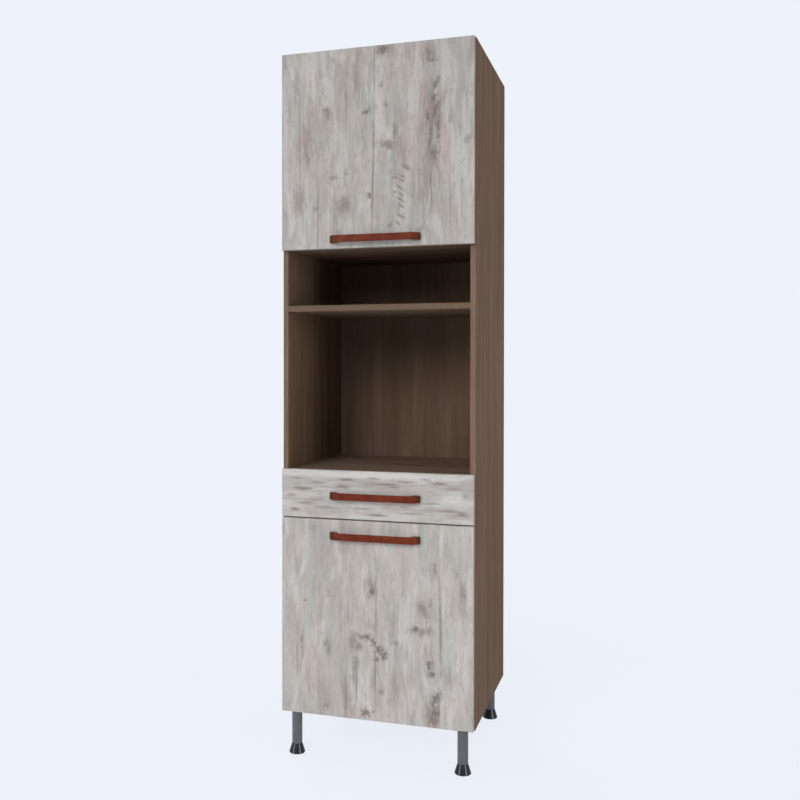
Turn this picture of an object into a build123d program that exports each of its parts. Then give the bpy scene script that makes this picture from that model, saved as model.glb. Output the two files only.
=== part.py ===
from build123d import *
import os

# Tall oven cabinet, in millimetres. +X to the right, +Y to the back, +Z up.
# The origin is on the floor, under the middle of the whole object's width and depth.

# Driving sizes of the body
BODY_W = 600.0
BODY_D = 560.0
BODY_H = 2030.0
LEG_H = 136.0
BOARD = 16.0
BACK_T = 4.0
BACK_INSET = 10.0
NICHE_SHELF_T = 18.0

# Driving sizes of the fronts, their gaps and handles
FRONT_T = 18.0
SIDE_REVEAL = 2.0
END_REVEAL = 1.0
BUFFER_GAP = 2.0
FRONT_GAP = 3.5
ARRIS = 1.5
LOWER_DOOR_TOP = 603.0
DRAWER_FRONT_TOP = 753.5
FLAP_BOTTOM = 1427.5
HANDLE_L = 280.0
HANDLE_H = 21.0
HANDLE_OUT = 30.0
HANDLE_T = 5.0
HANDLE_HOLES = 256.0
FLAP_HANDLE_UP = 26.5
DRAWER_HANDLE_DOWN = 76.5
DOOR_HANDLE_DOWN = 47.5

# Heights inside the body, above its underside
RAIL_MID = 604.75
RAIL_D = 80.0
DECK_TOP = 751.5
NICHE_SHELF_TOP = 1257.5
NICHE_CEILING_UNDER = 1429.0
LOWER_SHELF_UNDER = 292.0
UPPER_SHELF_UNDER = 1722.0
LOWER_SHELF_SETBACK = 40.0
UPPER_SHELF_SETBACK = 70.0
VENT_GAP = 30.0

# Drawer box and runners
DRAWER_L = 500.0
DRAWER_H = 100.0
DRAWER_BOTTOM = 622.0
BASE_T = 4.0
BASE_UP = 10.0
GROOVE_DEEP = 8.0
RUNNER_T = 12.7
RUNNER_H = 45.0
STEEL = 1.2
RUNNER_FRONT_GAP = 3.0
CAGE_L = 240.0

# Cup hinges: distances from the pin's axis
PIN_FROM_EDGE = 6.8
PIN_FROM_BACK = 8.5
CUP_R = 17.5
CUP_DEPTH = 12.0
CUP_FROM_EDGE = 20.5
ARM_NEAR = 11.0
DOOR_HINGE_END = 100.0

# Gas struts: distances from the flap's hinge axis
STRUT_FLAP_BACK = 20.0
STRUT_FLAP_DOWN = 85.0
STRUT_BODY_BACK = 47.5
STRUT_BODY_DOWN = 245.0
STRUT_FROM_SIDE = 12.0

# Legs
LEG_TUBE_R = 16.0
FOOT_R = 25.0
FOOT_H = 30.0
LEG_INSET = 39.0
LEG_FRONT_SETBACK = 16.5
LEG_REAR_SETBACK = 43.0

# Places worked out from the driving sizes
FRONT_FACE = HANDLE_OUT - (HANDLE_OUT + FRONT_T + BUFFER_GAP + BODY_D) / 2
FRONT_BACK = FRONT_FACE + FRONT_T
BODY_FRONT = FRONT_BACK + BUFFER_GAP
BODY_REAR = BODY_FRONT + BODY_D
BACK_FACE = BODY_REAR - BACK_INSET - BACK_T
BODY_TOP = LEG_H + BODY_H
IN_W = BODY_W - 2 * BOARD
SIDE_IN = IN_W / 2
FRONT_W = BODY_W - 2 * SIDE_REVEAL
FRONT_SIDE = FRONT_W / 2
DOOR_BOTTOM_Z = LEG_H + END_REVEAL
DOOR_TOP_Z = LEG_H + LOWER_DOOR_TOP
DRAWER_FRONT_BOTTOM_Z = DOOR_TOP_Z + FRONT_GAP
DRAWER_FRONT_TOP_Z = LEG_H + DRAWER_FRONT_TOP
FLAP_BOTTOM_Z = LEG_H + FLAP_BOTTOM
FLAP_TOP_Z = BODY_TOP - END_REVEAL
FLAP_HANDLE_Z = FLAP_BOTTOM_Z + FLAP_HANDLE_UP
DRAWER_HANDLE_Z = DRAWER_FRONT_TOP_Z - DRAWER_HANDLE_DOWN
DOOR_HANDLE_Z = DOOR_TOP_Z - DOOR_HANDLE_DOWN
PIN_Y = FRONT_BACK - PIN_FROM_BACK
FLAP_PIN_Z = FLAP_TOP_Z - PIN_FROM_EDGE
DOOR_PIN_X = -FRONT_SIDE + PIN_FROM_EDGE
HINGE_HALF_SPAN = FRONT_SIDE - DOOR_HINGE_END

os.makedirs("parts", exist_ok=True)


def write(builder, name):
    """Labels a finished piece and writes it under its node's name."""
    builder.part.label = name
    export_step(builder.part, f"parts/{name}.step")


# Planes of the hinges: local x runs from the front's edge inwards, local y runs back, local z along the pin
DOOR_HINGES = [
    Plane(origin=(DOOR_PIN_X, PIN_Y, z), x_dir=(1, 0, 0), z_dir=(0, 0, 1))
    for z in (DOOR_BOTTOM_Z + DOOR_HINGE_END, DOOR_TOP_Z - DOOR_HINGE_END)
]
FLAP_HINGES = [
    Plane(origin=(x, PIN_Y, FLAP_PIN_Z), x_dir=(0, 0, -1), z_dir=(1, 0, 0))
    for x in (-HINGE_HALF_SPAN, HINGE_HALF_SPAN)
]

# How far the panel that carries each arm stands from the pin's axis
DOOR_PANEL_AT = -SIDE_IN - DOOR_PIN_X
FLAP_PANEL_AT = FLAP_PIN_Z - (BODY_TOP - BOARD)

# Shelf supports: a foot on each side panel and a tongue under the shelf, front and rear
SUPPORT_W = 12.0
SUPPORT_OUT = 9.0
SUPPORT_DOWN = 14.0
SUPPORT_T = 2.5
SUPPORT_GUSSET = 2.0
SUPPORT_YS = (-130.0, 230.0)
SUPPORT_ZS = (LEG_H + LOWER_SHELF_UNDER, LEG_H + UPPER_SHELF_UNDER)

# Wall brackets under the top panel
BRACKET_X = 200.0
BRACKET_T = 2.5
BRACKET_W = 30.0
BRACKET_LEG = 40.0
WALL_HOLE_R = 3.5
WALL_HOLE_DOWN = 24.0
WALL_HOLE_Z = BODY_TOP - BOARD - WALL_HOLE_DOWN
WALL_PASS_R = 6.0


# Carcass: side panels with a groove for the back panel
GROOVE_PLAY = 0.2
GROOVE_LAP = GROOVE_DEEP - 0.5
for side, name in ((-1, "side_panel_left"), (1, "side_panel_right")):
    with BuildPart() as side_panel:
        with BuildSketch(Plane.XY.offset(LEG_H)):
            with Locations((side * (SIDE_IN + BOARD / 2), (BODY_FRONT + BODY_REAR) / 2)):
                Rectangle(BOARD, BODY_D)
            with Locations((side * (SIDE_IN + GROOVE_DEEP / 2), BACK_FACE + BACK_T / 2)):
                Rectangle(GROOVE_DEEP, BACK_T + GROOVE_PLAY, mode=Mode.SUBTRACT)
        extrude(amount=BODY_H)
    write(side_panel, name)


def board(name, under, thick, front=BODY_FRONT, rear=BACK_FACE, width=IN_W):
    """Writes one flat board that lies between the side panels."""
    with BuildPart() as piece:
        with BuildSketch(Plane.XY.offset(LEG_H + under)):
            with Locations((0, (front + rear) / 2)):
                Rectangle(width, rear - front)
        extrude(amount=thick)
    write(piece, name)


# The two loose shelves have play at their ends and stop short of the back panel
SHELF_PLAY = 1.0
SHELF_REAR_GAP = 5.0
LOOSE_W = IN_W - 2 * SHELF_PLAY
LOOSE_REAR = BACK_FACE - SHELF_REAR_GAP
board("bottom_panel", 0, BOARD)
board("front_rail", RAIL_MID - BOARD / 2, BOARD, rear=BODY_FRONT + RAIL_D)
board("oven_deck", DECK_TOP - BOARD, BOARD, rear=BACK_FACE - VENT_GAP)
board("niche_shelf", NICHE_SHELF_TOP - NICHE_SHELF_T, NICHE_SHELF_T)
board("niche_ceiling", NICHE_CEILING_UNDER, BOARD)
board("top_panel", BODY_H - BOARD, BOARD)
board("lower_shelf", LOWER_SHELF_UNDER, BOARD, BODY_FRONT + LOWER_SHELF_SETBACK, LOOSE_REAR, LOOSE_W)
board("upper_shelf", UPPER_SHELF_UNDER, BOARD, BODY_FRONT + UPPER_SHELF_SETBACK, LOOSE_REAR, LOOSE_W)

# Back panel in the side panels' grooves, with the two holes that the wall screws pass
with BuildPart() as back_panel:
    with BuildSketch(Plane.XY.offset(LEG_H)):
        with Locations((0, BACK_FACE + BACK_T / 2)):
            Rectangle(IN_W + 2 * GROOVE_LAP, BACK_T)
    extrude(amount=BODY_H)
    with BuildSketch(Plane.XZ.offset(-BACK_FACE)):
        with Locations((-BRACKET_X, WALL_HOLE_Z), (BRACKET_X, WALL_HOLE_Z)):
            Circle(WALL_PASS_R)
    extrude(amount=-BACK_T, mode=Mode.SUBTRACT)
write(back_panel, "back_panel")

# Shelf supports
with BuildPart() as shelf_supports:
    for side in (-1, 1):
        for under in SUPPORT_ZS:
            for y in SUPPORT_YS:
                with BuildSketch(Plane.XZ.offset(-y - SUPPORT_W / 2)):
                    with BuildLine():
                        Polyline(
                            (side * SIDE_IN, under),
                            (side * (SIDE_IN - SUPPORT_OUT), under),
                            (side * (SIDE_IN - SUPPORT_OUT), under - SUPPORT_T),
                            (side * (SIDE_IN - SUPPORT_T), under - SUPPORT_T - SUPPORT_GUSSET),
                            (side * (SIDE_IN - SUPPORT_T), under - SUPPORT_DOWN),
                            (side * SIDE_IN, under - SUPPORT_DOWN),
                            close=True,
                        )
                    make_face()
                extrude(amount=SUPPORT_W)
write(shelf_supports, "shelf_supports")

# Wall brackets: steel angles in the rear corner of the upper cupboard, under the top panel
with BuildPart() as wall_brackets:
    for x in (-BRACKET_X, BRACKET_X):
        with BuildSketch(Plane.YZ.offset(x - BRACKET_W / 2)):
            with BuildLine():
                top = BODY_TOP - BOARD
                Polyline(
                    (BACK_FACE, top),
                    (BACK_FACE - BRACKET_LEG, top),
                    (BACK_FACE - BRACKET_LEG, top - BRACKET_T),
                    (BACK_FACE - BRACKET_T, top - BRACKET_T),
                    (BACK_FACE - BRACKET_T, top - BRACKET_LEG),
                    (BACK_FACE, top - BRACKET_LEG),
                    close=True,
                )
            make_face()
        extrude(amount=BRACKET_W)
        with BuildSketch(Plane.XZ.offset(-BACK_FACE)):
            with Locations((x, WALL_HOLE_Z)):
                Circle(WALL_HOLE_R)
        extrude(amount=BRACKET_T, mode=Mode.SUBTRACT)
write(wall_brackets, "wall_brackets")


# Fronts: edge banded boards with an arris all round, cup holes and handle holes from the back
HANDLE_SCREW_R = 2.0
HANDLE_THREAD_R = 2.1
HANDLE_HOLE_R = 2.3


def front_panel(name, bottom, top, handle_z, hinges=()):
    """Writes one front. Each hinge plane gives the place of a cup hole."""
    with BuildPart() as front:
        with BuildSketch(Plane.XZ.offset(-FRONT_FACE)):
            with Locations((0, (bottom + top) / 2)):
                Rectangle(FRONT_W, top - bottom)
        extrude(amount=-FRONT_T)
        chamfer(front.edges().filter_by(Axis.Y, reverse=True), ARRIS)
        with BuildSketch(Plane.XZ.offset(-FRONT_FACE)):
            with Locations((-HANDLE_HOLES / 2, handle_z), (HANDLE_HOLES / 2, handle_z)):
                Circle(HANDLE_HOLE_R)
        extrude(amount=-FRONT_T, mode=Mode.SUBTRACT)
        for hinge in hinges:
            cup_centre = hinge.from_local_coords((CUP_FROM_EDGE - PIN_FROM_EDGE, PIN_FROM_BACK, 0))
            with BuildSketch(Plane(origin=cup_centre, x_dir=hinge.x_dir, z_dir=(0, -1, 0))):
                Circle(CUP_R)
            extrude(amount=CUP_DEPTH, mode=Mode.SUBTRACT)
    write(front, name)


front_panel("upper_flap", FLAP_BOTTOM_Z, FLAP_TOP_Z, FLAP_HANDLE_Z, FLAP_HINGES)
front_panel("drawer_front", DRAWER_FRONT_BOTTOM_Z, DRAWER_FRONT_TOP_Z, DRAWER_HANDLE_Z)
front_panel("lower_door", DOOR_BOTTOM_Z, DOOR_TOP_Z, DOOR_HANDLE_Z, DOOR_HINGES)


# Bow handles: a flat band that curves back to the front at each end, with a screw pad behind each hole
BOW_RUN = 26.0
BOW_MID = 0.72
BOW_RISE = 1.0
PAD_W = 22.0
PAD_RUN = 14.0
HANDLE_EDGE = 1.5
SCREW_IN_HANDLE = 14.0


def bow_handle(name, middle):
    """Writes one bow handle, centred at the given height."""
    half = HANDLE_L / 2
    bar = FRONT_FACE - HANDLE_OUT + BOW_RISE
    with BuildPart() as handle:
        with BuildSketch(Plane.XY.offset(middle - HANDLE_H / 2)):
            with BuildLine():
                left_end = ThreePointArc(
                    (-half, FRONT_FACE),
                    (-half + BOW_RUN * (1 - BOW_MID), FRONT_FACE - HANDLE_OUT * BOW_MID),
                    (-half + BOW_RUN, bar),
                )
                bow = ThreePointArc(left_end @ 1, (0, bar - BOW_RISE), (half - BOW_RUN, bar))
                right_end = ThreePointArc(
                    bow @ 1,
                    (half - BOW_RUN * (1 - BOW_MID), FRONT_FACE - HANDLE_OUT * BOW_MID),
                    (half, FRONT_FACE),
                )
                Line(right_end @ 1, (half - PAD_W, FRONT_FACE))
                right_pad = ThreePointArc(
                    (half - PAD_W, FRONT_FACE),
                    (half - PAD_W - PAD_RUN / 4, bar + HANDLE_T + PAD_RUN / 2),
                    (half - PAD_W - PAD_RUN, bar + HANDLE_T),
                )
                inside = Line(right_pad @ 1, (-half + PAD_W + PAD_RUN, bar + HANDLE_T))
                left_pad = ThreePointArc(
                    inside @ 1,
                    (-half + PAD_W + PAD_RUN / 4, bar + HANDLE_T + PAD_RUN / 2),
                    (-half + PAD_W, FRONT_FACE),
                )
                Line(left_pad @ 1, left_end @ 0)
            make_face()
        extrude(amount=HANDLE_H)
        outside = handle.faces().filter_by(GeomType.CYLINDER).sort_by(Axis.Y)[0]
        chamfer(outside.edges().filter_by(GeomType.CIRCLE), HANDLE_EDGE)
        with BuildSketch(Plane.XZ.offset(-FRONT_FACE)):
            with Locations((-HANDLE_HOLES / 2, middle), (HANDLE_HOLES / 2, middle)):
                Circle(HANDLE_THREAD_R)
        extrude(amount=SCREW_IN_HANDLE, mode=Mode.SUBTRACT)
    write(handle, name)


bow_handle("flap_handle", FLAP_HANDLE_Z)
bow_handle("drawer_handle", DRAWER_HANDLE_Z)
bow_handle("door_handle", DOOR_HANDLE_Z)


# Handle screws: a pan head on the back of the board and a shank into the handle's pad
PAN_R = 4.2
PAN_H = 2.4
PAN_EDGE = 1.0
HOLE_SPARE = 2.0


def handle_screws(name, middle, head_at):
    """Writes the two screws of one handle, with their heads on the face at head_at."""
    tip = FRONT_FACE - SCREW_IN_HANDLE + HOLE_SPARE
    with BuildPart() as screws:
        for x in (-HANDLE_HOLES / 2, HANDLE_HOLES / 2):
            with BuildSketch(Plane(origin=(x, 0, middle), x_dir=(1, 0, 0), z_dir=(0, 0, 1))):
                with BuildLine():
                    Polyline(
                        (0, tip),
                        (HANDLE_SCREW_R, tip),
                        (HANDLE_SCREW_R, head_at),
                        (PAN_R, head_at),
                        (PAN_R - PAN_EDGE, head_at + PAN_H),
                        (0, head_at + PAN_H),
                        close=True,
                    )
                make_face()
            revolve(axis=Axis((x, 0, middle), (0, 1, 0)))
    write(screws, name)


handle_screws("flap_handle_screws", FLAP_HANDLE_Z, FRONT_BACK)
handle_screws("door_handle_screws", DOOR_HANDLE_Z, FRONT_BACK)
handle_screws("drawer_handle_screws", DRAWER_HANDLE_Z, FRONT_BACK + BOARD)

# Drawer box: sides, box front, back and a thin base held in grooves all round
BOX_W = IN_W - 2 * RUNNER_T
BOX_SIDE = BOX_W / 2
BOX_IN = BOX_W - 2 * BOARD
BOX_Z = LEG_H + DRAWER_BOTTOM
BOX_REAR = FRONT_BACK + DRAWER_L
BASE_GROOVE = BASE_T + GROOVE_PLAY
for side, name in ((-1, "drawer_side_left"), (1, "drawer_side_right")):
    with BuildPart() as drawer_side:
        with BuildSketch(Plane.XZ.offset(-FRONT_BACK)):
            with Locations((side * (BOX_SIDE - BOARD / 2), BOX_Z + DRAWER_H / 2)):
                Rectangle(BOARD, DRAWER_H)
            with Locations((side * (BOX_IN / 2 + GROOVE_DEEP / 2), BOX_Z + BASE_UP + BASE_T / 2)):
                Rectangle(GROOVE_DEEP, BASE_GROOVE, mode=Mode.SUBTRACT)
        extrude(amount=-DRAWER_L)
    write(drawer_side, name)

for name, outer, inward in (("drawer_box_front", FRONT_BACK, 1), ("drawer_back", BOX_REAR, -1)):
    with BuildPart() as box_end:
        with BuildSketch(Plane.YZ.offset(-BOX_IN / 2)):
            with Locations((outer + inward * BOARD / 2, BOX_Z + DRAWER_H / 2)):
                Rectangle(BOARD, DRAWER_H)
            with Locations((outer + inward * (BOARD - GROOVE_DEEP / 2), BOX_Z + BASE_UP + BASE_T / 2)):
                Rectangle(GROOVE_DEEP, BASE_GROOVE, mode=Mode.SUBTRACT)
        extrude(amount=BOX_IN)
        if outer == FRONT_BACK:
            with BuildSketch(Plane.XZ.offset(-FRONT_BACK)):
                with Locations((-HANDLE_HOLES / 2, DRAWER_HANDLE_Z), (HANDLE_HOLES / 2, DRAWER_HANDLE_Z)):
                    Circle(HANDLE_HOLE_R)
            extrude(amount=-BOARD, mode=Mode.SUBTRACT)
    write(box_end, name)

with BuildPart() as drawer_base:
    with BuildSketch(Plane.XY.offset(BOX_Z + BASE_UP)):
        with Locations((0, FRONT_BACK + DRAWER_L / 2)):
            Rectangle(BOX_IN + 2 * GROOVE_LAP, DRAWER_L - 2 * BOARD + 2 * GROOVE_LAP)
    extrude(amount=BASE_T)
write(drawer_base, "drawer_base")

# Telescopic runners: three rolled channels inside one another and the ball cages that run between them.
# Each section is drawn with x from the side panel inwards and y up from the runner's middle.
RUNNER_Z = BOX_Z + DRAWER_H / 2
RUNNER_Y = BODY_FRONT + RUNNER_FRONT_GAP
OUTER_HALF = RUNNER_H / 2
BALL_ROOM = 3.2
MIDDLE_HALF = OUTER_HALF - STEEL - BALL_ROOM
INNER_HALF = MIDDLE_HALF - STEEL - BALL_ROOM
BALL_PLAY = 0.3
OUTER_FLANGE = 9.5
MIDDLE_WEB = 2.3
MIDDLE_FLANGE = 11.0
INNER_FLANGE = 4.8
LIP = 1.4
SMALL_LIP = 0.6
CAGE_WEB = 0.6
CAGE_GAP = 0.25
OUTER_BEAD = 7.5
INNER_BEAD = 9.0


def channel(half, web, rim, lip):
    """The outline of a rolled C channel from its web to its flanges' rims, with lips turned in there."""
    step = STEEL if rim > web else -STEEL
    upper = [
        (web + step, half - STEEL),
        (rim - step, half - STEEL),
        (rim - step, half - STEEL - lip),
        (rim, half - STEEL - lip),
        (rim, half),
        (web, half),
    ]
    return [(x, -y) for x, y in reversed(upper)] + upper


def cage(half, web, rim):
    """The outline of a ball cage: a thin web and a bead along each row of balls."""
    outside = half - BALL_PLAY
    inside = outside - (BALL_ROOM - 2 * BALL_PLAY)
    upper = [(web + CAGE_WEB, inside), (rim, inside), (rim, outside), (web, outside)]
    return [(x, -y) for x, y in reversed(upper)] + upper


RUNNER_SIDES = ((-1, "left"), (1, "right"))
RUNNER_MEMBERS = (
    ("runner_cabinet_member", channel(OUTER_HALF, 0, OUTER_FLANGE, LIP)),
    ("runner_middle_member", channel(MIDDLE_HALF, MIDDLE_WEB, MIDDLE_FLANGE, SMALL_LIP)),
    ("runner_drawer_member", channel(INNER_HALF, RUNNER_T, INNER_FLANGE, SMALL_LIP)),
)
RUNNER_CAGES = (
    ("runner_outer_cages", cage(OUTER_HALF - STEEL, STEEL + CAGE_GAP, OUTER_BEAD)),
    ("runner_inner_cages", cage(MIDDLE_HALF - STEEL, MIDDLE_WEB + STEEL + CAGE_GAP, INNER_BEAD)),
)


def runner_plane(side):
    """The section plane at a runner's front end: local x inwards, extruded to the back."""
    return Plane(origin=(side * SIDE_IN, RUNNER_Y, RUNNER_Z), x_dir=(-side, 0, 0), z_dir=(0, 1, 0))


for member, outline in RUNNER_MEMBERS:
    for side, side_name in RUNNER_SIDES:
        with BuildPart() as runner_member:
            with BuildSketch(runner_plane(side)):
                with BuildLine():
                    Polyline(*outline, close=True)
                make_face()
            extrude(amount=DRAWER_L)
        write(runner_member, f"{member}_{side_name}")

CAGE_START = (DRAWER_L - CAGE_L) / 2
for name, outline in RUNNER_CAGES:
    with BuildPart() as cages:
        for side, side_name in RUNNER_SIDES:
            with BuildSketch(runner_plane(side).offset(CAGE_START)):
                with BuildLine():
                    Polyline(*outline, close=True)
                make_face()
            extrude(amount=CAGE_L)
    write(cages, name)

# Cup hinges. Local axes of each hinge plane: x inwards from the front's edge, y back, z along the pin.
CUP_AT = CUP_FROM_EDGE - PIN_FROM_EDGE
CUP_WALL = 0.8
FLANGE_T = 1.0
FLANGE_W = 25.0
FLANGE_L = 58.0
FLANGE_CORNER = 5.0
FLANGE_SHIFT = 4.0
CHEEK_AT = 1.0
CHEEK_NEAR = 5.0
CHEEK_FAR = 8.0
CHEEK_W = 8.0
HINGE_PIN_R = 1.25
PIN_PLAY = 0.1
KNUCKLE_R = 2.1
NECK_HALF = 4.5
NECK_T = 4.0
NECK_FROM = 3.0
NECK_TOP = 0.8
NOTCH_BELOW = 4.0
CHANNEL_START = 22.0
CHANNEL_END = 80.0
CHANNEL_HALF = 9.0
CHANNEL_TOP = 21.0
CHANNEL_NOSE = 2.0
PLATE_WING_AT = 47.5
PLATE_WING_W = 15.0
PLATE_WING_HALF = 28.0
PLATE_WING_CORNER = 4.0
PLATE_BOSS_HALF = 7.5
PLATE_BOSS_TOP = 17.0
PLATE_BOSS_FROM = 26.0
PLATE_BOSS_TO = 78.0


def cup_plane(hinge, deep):
    """The plane across a cup, its z axis towards the room behind the front, at a depth under the flange."""
    origin = hinge.from_local_coords((CUP_AT, PIN_FROM_BACK - deep, 0))
    return Plane(origin=origin, x_dir=hinge.x_dir, z_dir=(0, 1, 0))


def hinge_cups(name, hinges):
    """Writes the cups: a flanged bowl, two cheeks that hold the pin and a notch that the arm dips into."""
    with BuildPart() as cups:
        for hinge in hinges:
            with BuildSketch(cup_plane(hinge, CUP_DEPTH)):
                Circle(CUP_R)
            extrude(amount=CUP_DEPTH)
            with BuildSketch(cup_plane(hinge, 0)):
                Circle(CUP_R)
                with Locations((FLANGE_SHIFT, 0)):
                    flange = Rectangle(FLANGE_W, FLANGE_L)
                chamfer(flange.vertices(), FLANGE_CORNER)
            extrude(amount=FLANGE_T)
            with BuildSketch(cup_plane(hinge, CUP_DEPTH - CUP_WALL)):
                Circle(CUP_R - CUP_WALL)
                with Locations(
                    (CHEEK_AT - CUP_AT, (CHEEK_NEAR + CHEEK_FAR) / 2),
                    (CHEEK_AT - CUP_AT, -(CHEEK_NEAR + CHEEK_FAR) / 2),
                ):
                    Rectangle(CHEEK_W, CHEEK_FAR - CHEEK_NEAR, mode=Mode.SUBTRACT)
            extrude(amount=CUP_DEPTH + FLANGE_T - CUP_WALL, mode=Mode.SUBTRACT)
            with BuildSketch(cup_plane(hinge, NOTCH_BELOW)):
                with Locations((-CUP_R, 0)):
                    Rectangle(CUP_R, 2 * CHEEK_NEAR)
            extrude(amount=NOTCH_BELOW + FLANGE_T, mode=Mode.SUBTRACT)
    write(cups, name)


def hinge_pins(name, hinges):
    """Writes the pins that the arms turn on, between the cups' cheeks."""
    with BuildPart() as pins:
        for hinge in hinges:
            with BuildSketch(hinge.offset(-CHEEK_NEAR)):
                Circle(HINGE_PIN_R)
            extrude(amount=2 * CHEEK_NEAR)
    write(pins, name)


def hinge_arms(name, hinges):
    """Writes the cranked arms: a knuckle on the pin, a neck out of the cup and a channel over the plate."""
    with BuildPart() as arms:
        for hinge in hinges:
            with BuildSketch(hinge.offset(-NECK_HALF)):
                Circle(KNUCKLE_R)
                with BuildLine():
                    Polyline(
                        (0, -KNUCKLE_R),
                        (ARM_NEAR + NECK_T, -KNUCKLE_R),
                        (ARM_NEAR + NECK_T, CHANNEL_START),
                        (ARM_NEAR, CHANNEL_START),
                        (ARM_NEAR, NECK_TOP),
                        (NECK_FROM, NECK_TOP),
                        (0, KNUCKLE_R),
                        close=True,
                    )
                make_face()
                Circle(HINGE_PIN_R + PIN_PLAY, mode=Mode.SUBTRACT)
            extrude(amount=2 * NECK_HALF)
            with BuildSketch(hinge.offset(-CHANNEL_HALF)):
                with Locations(((ARM_NEAR + CHANNEL_TOP) / 2, (CHANNEL_START + CHANNEL_END) / 2)):
                    Rectangle(CHANNEL_TOP - ARM_NEAR, CHANNEL_END - CHANNEL_START)
            extrude(amount=2 * CHANNEL_HALF)
            with BuildSketch(hinge.offset(-CHANNEL_HALF + STEEL)):
                hollow_from = CHANNEL_START + CHANNEL_NOSE
                with Locations(((ARM_NEAR + CHANNEL_TOP - STEEL) / 2, (hollow_from + CHANNEL_END) / 2)):
                    Rectangle(CHANNEL_TOP - STEEL - ARM_NEAR, CHANNEL_END - hollow_from)
            extrude(amount=2 * (CHANNEL_HALF - STEEL), mode=Mode.SUBTRACT)
    write(arms, name)


def hinge_plates(name, hinges, panel_at):
    """Writes the mounting plates: a winged foot on the panel and a boss inside the arm."""
    with BuildPart() as plates:
        for hinge in hinges:
            wing_middle = hinge.from_local_coords((panel_at, PLATE_WING_AT, 0))
            with BuildSketch(Plane(origin=wing_middle, x_dir=hinge.z_dir, z_dir=hinge.x_dir)):
                wings = Rectangle(2 * PLATE_WING_HALF, PLATE_WING_W)
                chamfer(wings.vertices(), PLATE_WING_CORNER)
            extrude(amount=ARM_NEAR - panel_at)
            with BuildSketch(hinge.offset(-PLATE_BOSS_HALF)):
                with Locations(((panel_at + PLATE_BOSS_TOP) / 2, (PLATE_BOSS_FROM + PLATE_BOSS_TO) / 2)):
                    Rectangle(PLATE_BOSS_TOP - panel_at, PLATE_BOSS_TO - PLATE_BOSS_FROM)
            extrude(amount=2 * PLATE_BOSS_HALF)
    write(plates, name)


for leaf, hinges, panel_at in (("flap", FLAP_HINGES, FLAP_PANEL_AT), ("door", DOOR_HINGES, DOOR_PANEL_AT)):
    hinge_cups(f"{leaf}_hinge_cups", hinges)
    hinge_pins(f"{leaf}_hinge_pins", hinges)
    hinge_arms(f"{leaf}_hinge_arms", hinges)
    hinge_plates(f"{leaf}_hinge_plates", hinges, panel_at)

# Gas struts. Each lies in an upright plane beside its side panel: the cylinder's eye turns on the flap's
# stud, and the rod's end meets the side panel's stud.
STRUT_X = SIDE_IN - STRUT_FROM_SIDE
FLAP_STUD = Vector(0, PIN_Y + STRUT_FLAP_BACK, FLAP_PIN_Z - STRUT_FLAP_DOWN)
BODY_STUD = Vector(0, PIN_Y + STRUT_BODY_BACK, FLAP_PIN_Z - STRUT_BODY_DOWN)
STRUT_DIR = (BODY_STUD - FLAP_STUD).normalized()
STRUT_L = (BODY_STUD - FLAP_STUD).length
END_SIZE = 14.0
END_CORNER = 3.5
EYE_HALF = 4.0
ROD_END_HALF = 3.6
STUD_R = 3.0
STUD_PLAY = 0.3
CYLINDER_R = 7.5
CYLINDER_FROM = 11.0
ROD_SHOWN = 17.0
CYLINDER_TO = STRUT_L - ROD_SHOWN
CYLINDER_FLOOR = 8.0
ROD_R = 3.0
ROD_PLAY = 0.3
ROD_FLOOR_GAP = 1.0
ROD_START = CYLINDER_FROM + CYLINDER_FLOOR + ROD_FLOOR_GAP
NECK_R = 3.4
STUD_HEAD_R = 5.0


def strut_plane(side, along=0.0):
    """A plane across the strut, at a distance along it from the flap's stud."""
    origin = Vector(side * STRUT_X, FLAP_STUD.Y, FLAP_STUD.Z) + STRUT_DIR * along
    return Plane(origin=origin, x_dir=(1, 0, 0), z_dir=STRUT_DIR)


def end_plane(side, stud, half):
    """The plane of the near face of an end fitting on a stud, its local x along the strut."""
    return Plane(origin=(side * STRUT_X - half, stud.Y, stud.Z), x_dir=STRUT_DIR, z_dir=(1, 0, 0))


with BuildPart() as strut_cylinders:
    for side in (-1, 1):
        with BuildSketch(strut_plane(side, CYLINDER_FROM)):
            Circle(CYLINDER_R)
        extrude(amount=CYLINDER_TO - CYLINDER_FROM)
        with BuildSketch(strut_plane(side, CYLINDER_FROM + CYLINDER_FLOOR)):
            Circle(ROD_R + ROD_PLAY)
        extrude(amount=CYLINDER_TO - CYLINDER_FROM - CYLINDER_FLOOR, mode=Mode.SUBTRACT)
        with BuildSketch(strut_plane(side, END_SIZE / 2)):
            Circle(NECK_R)
        extrude(amount=CYLINDER_FROM - END_SIZE / 2)
        with BuildSketch(end_plane(side, FLAP_STUD, EYE_HALF)):
            eye = Rectangle(END_SIZE, END_SIZE)
            chamfer(eye.vertices(), END_CORNER)
            Circle(STUD_R + STUD_PLAY, mode=Mode.SUBTRACT)
        extrude(amount=2 * EYE_HALF)
write(strut_cylinders, "strut_cylinders")

with BuildPart() as strut_rods:
    for side in (-1, 1):
        with BuildSketch(strut_plane(side, ROD_START)):
            Circle(ROD_R)
        extrude(amount=STRUT_L - ROD_START)
        with BuildSketch(end_plane(side, BODY_STUD, ROD_END_HALF)):
            rod_end = Rectangle(END_SIZE, END_SIZE)
            chamfer(rod_end.vertices(), END_CORNER)
        extrude(amount=2 * ROD_END_HALF)
write(strut_rods, "strut_rods")

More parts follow.
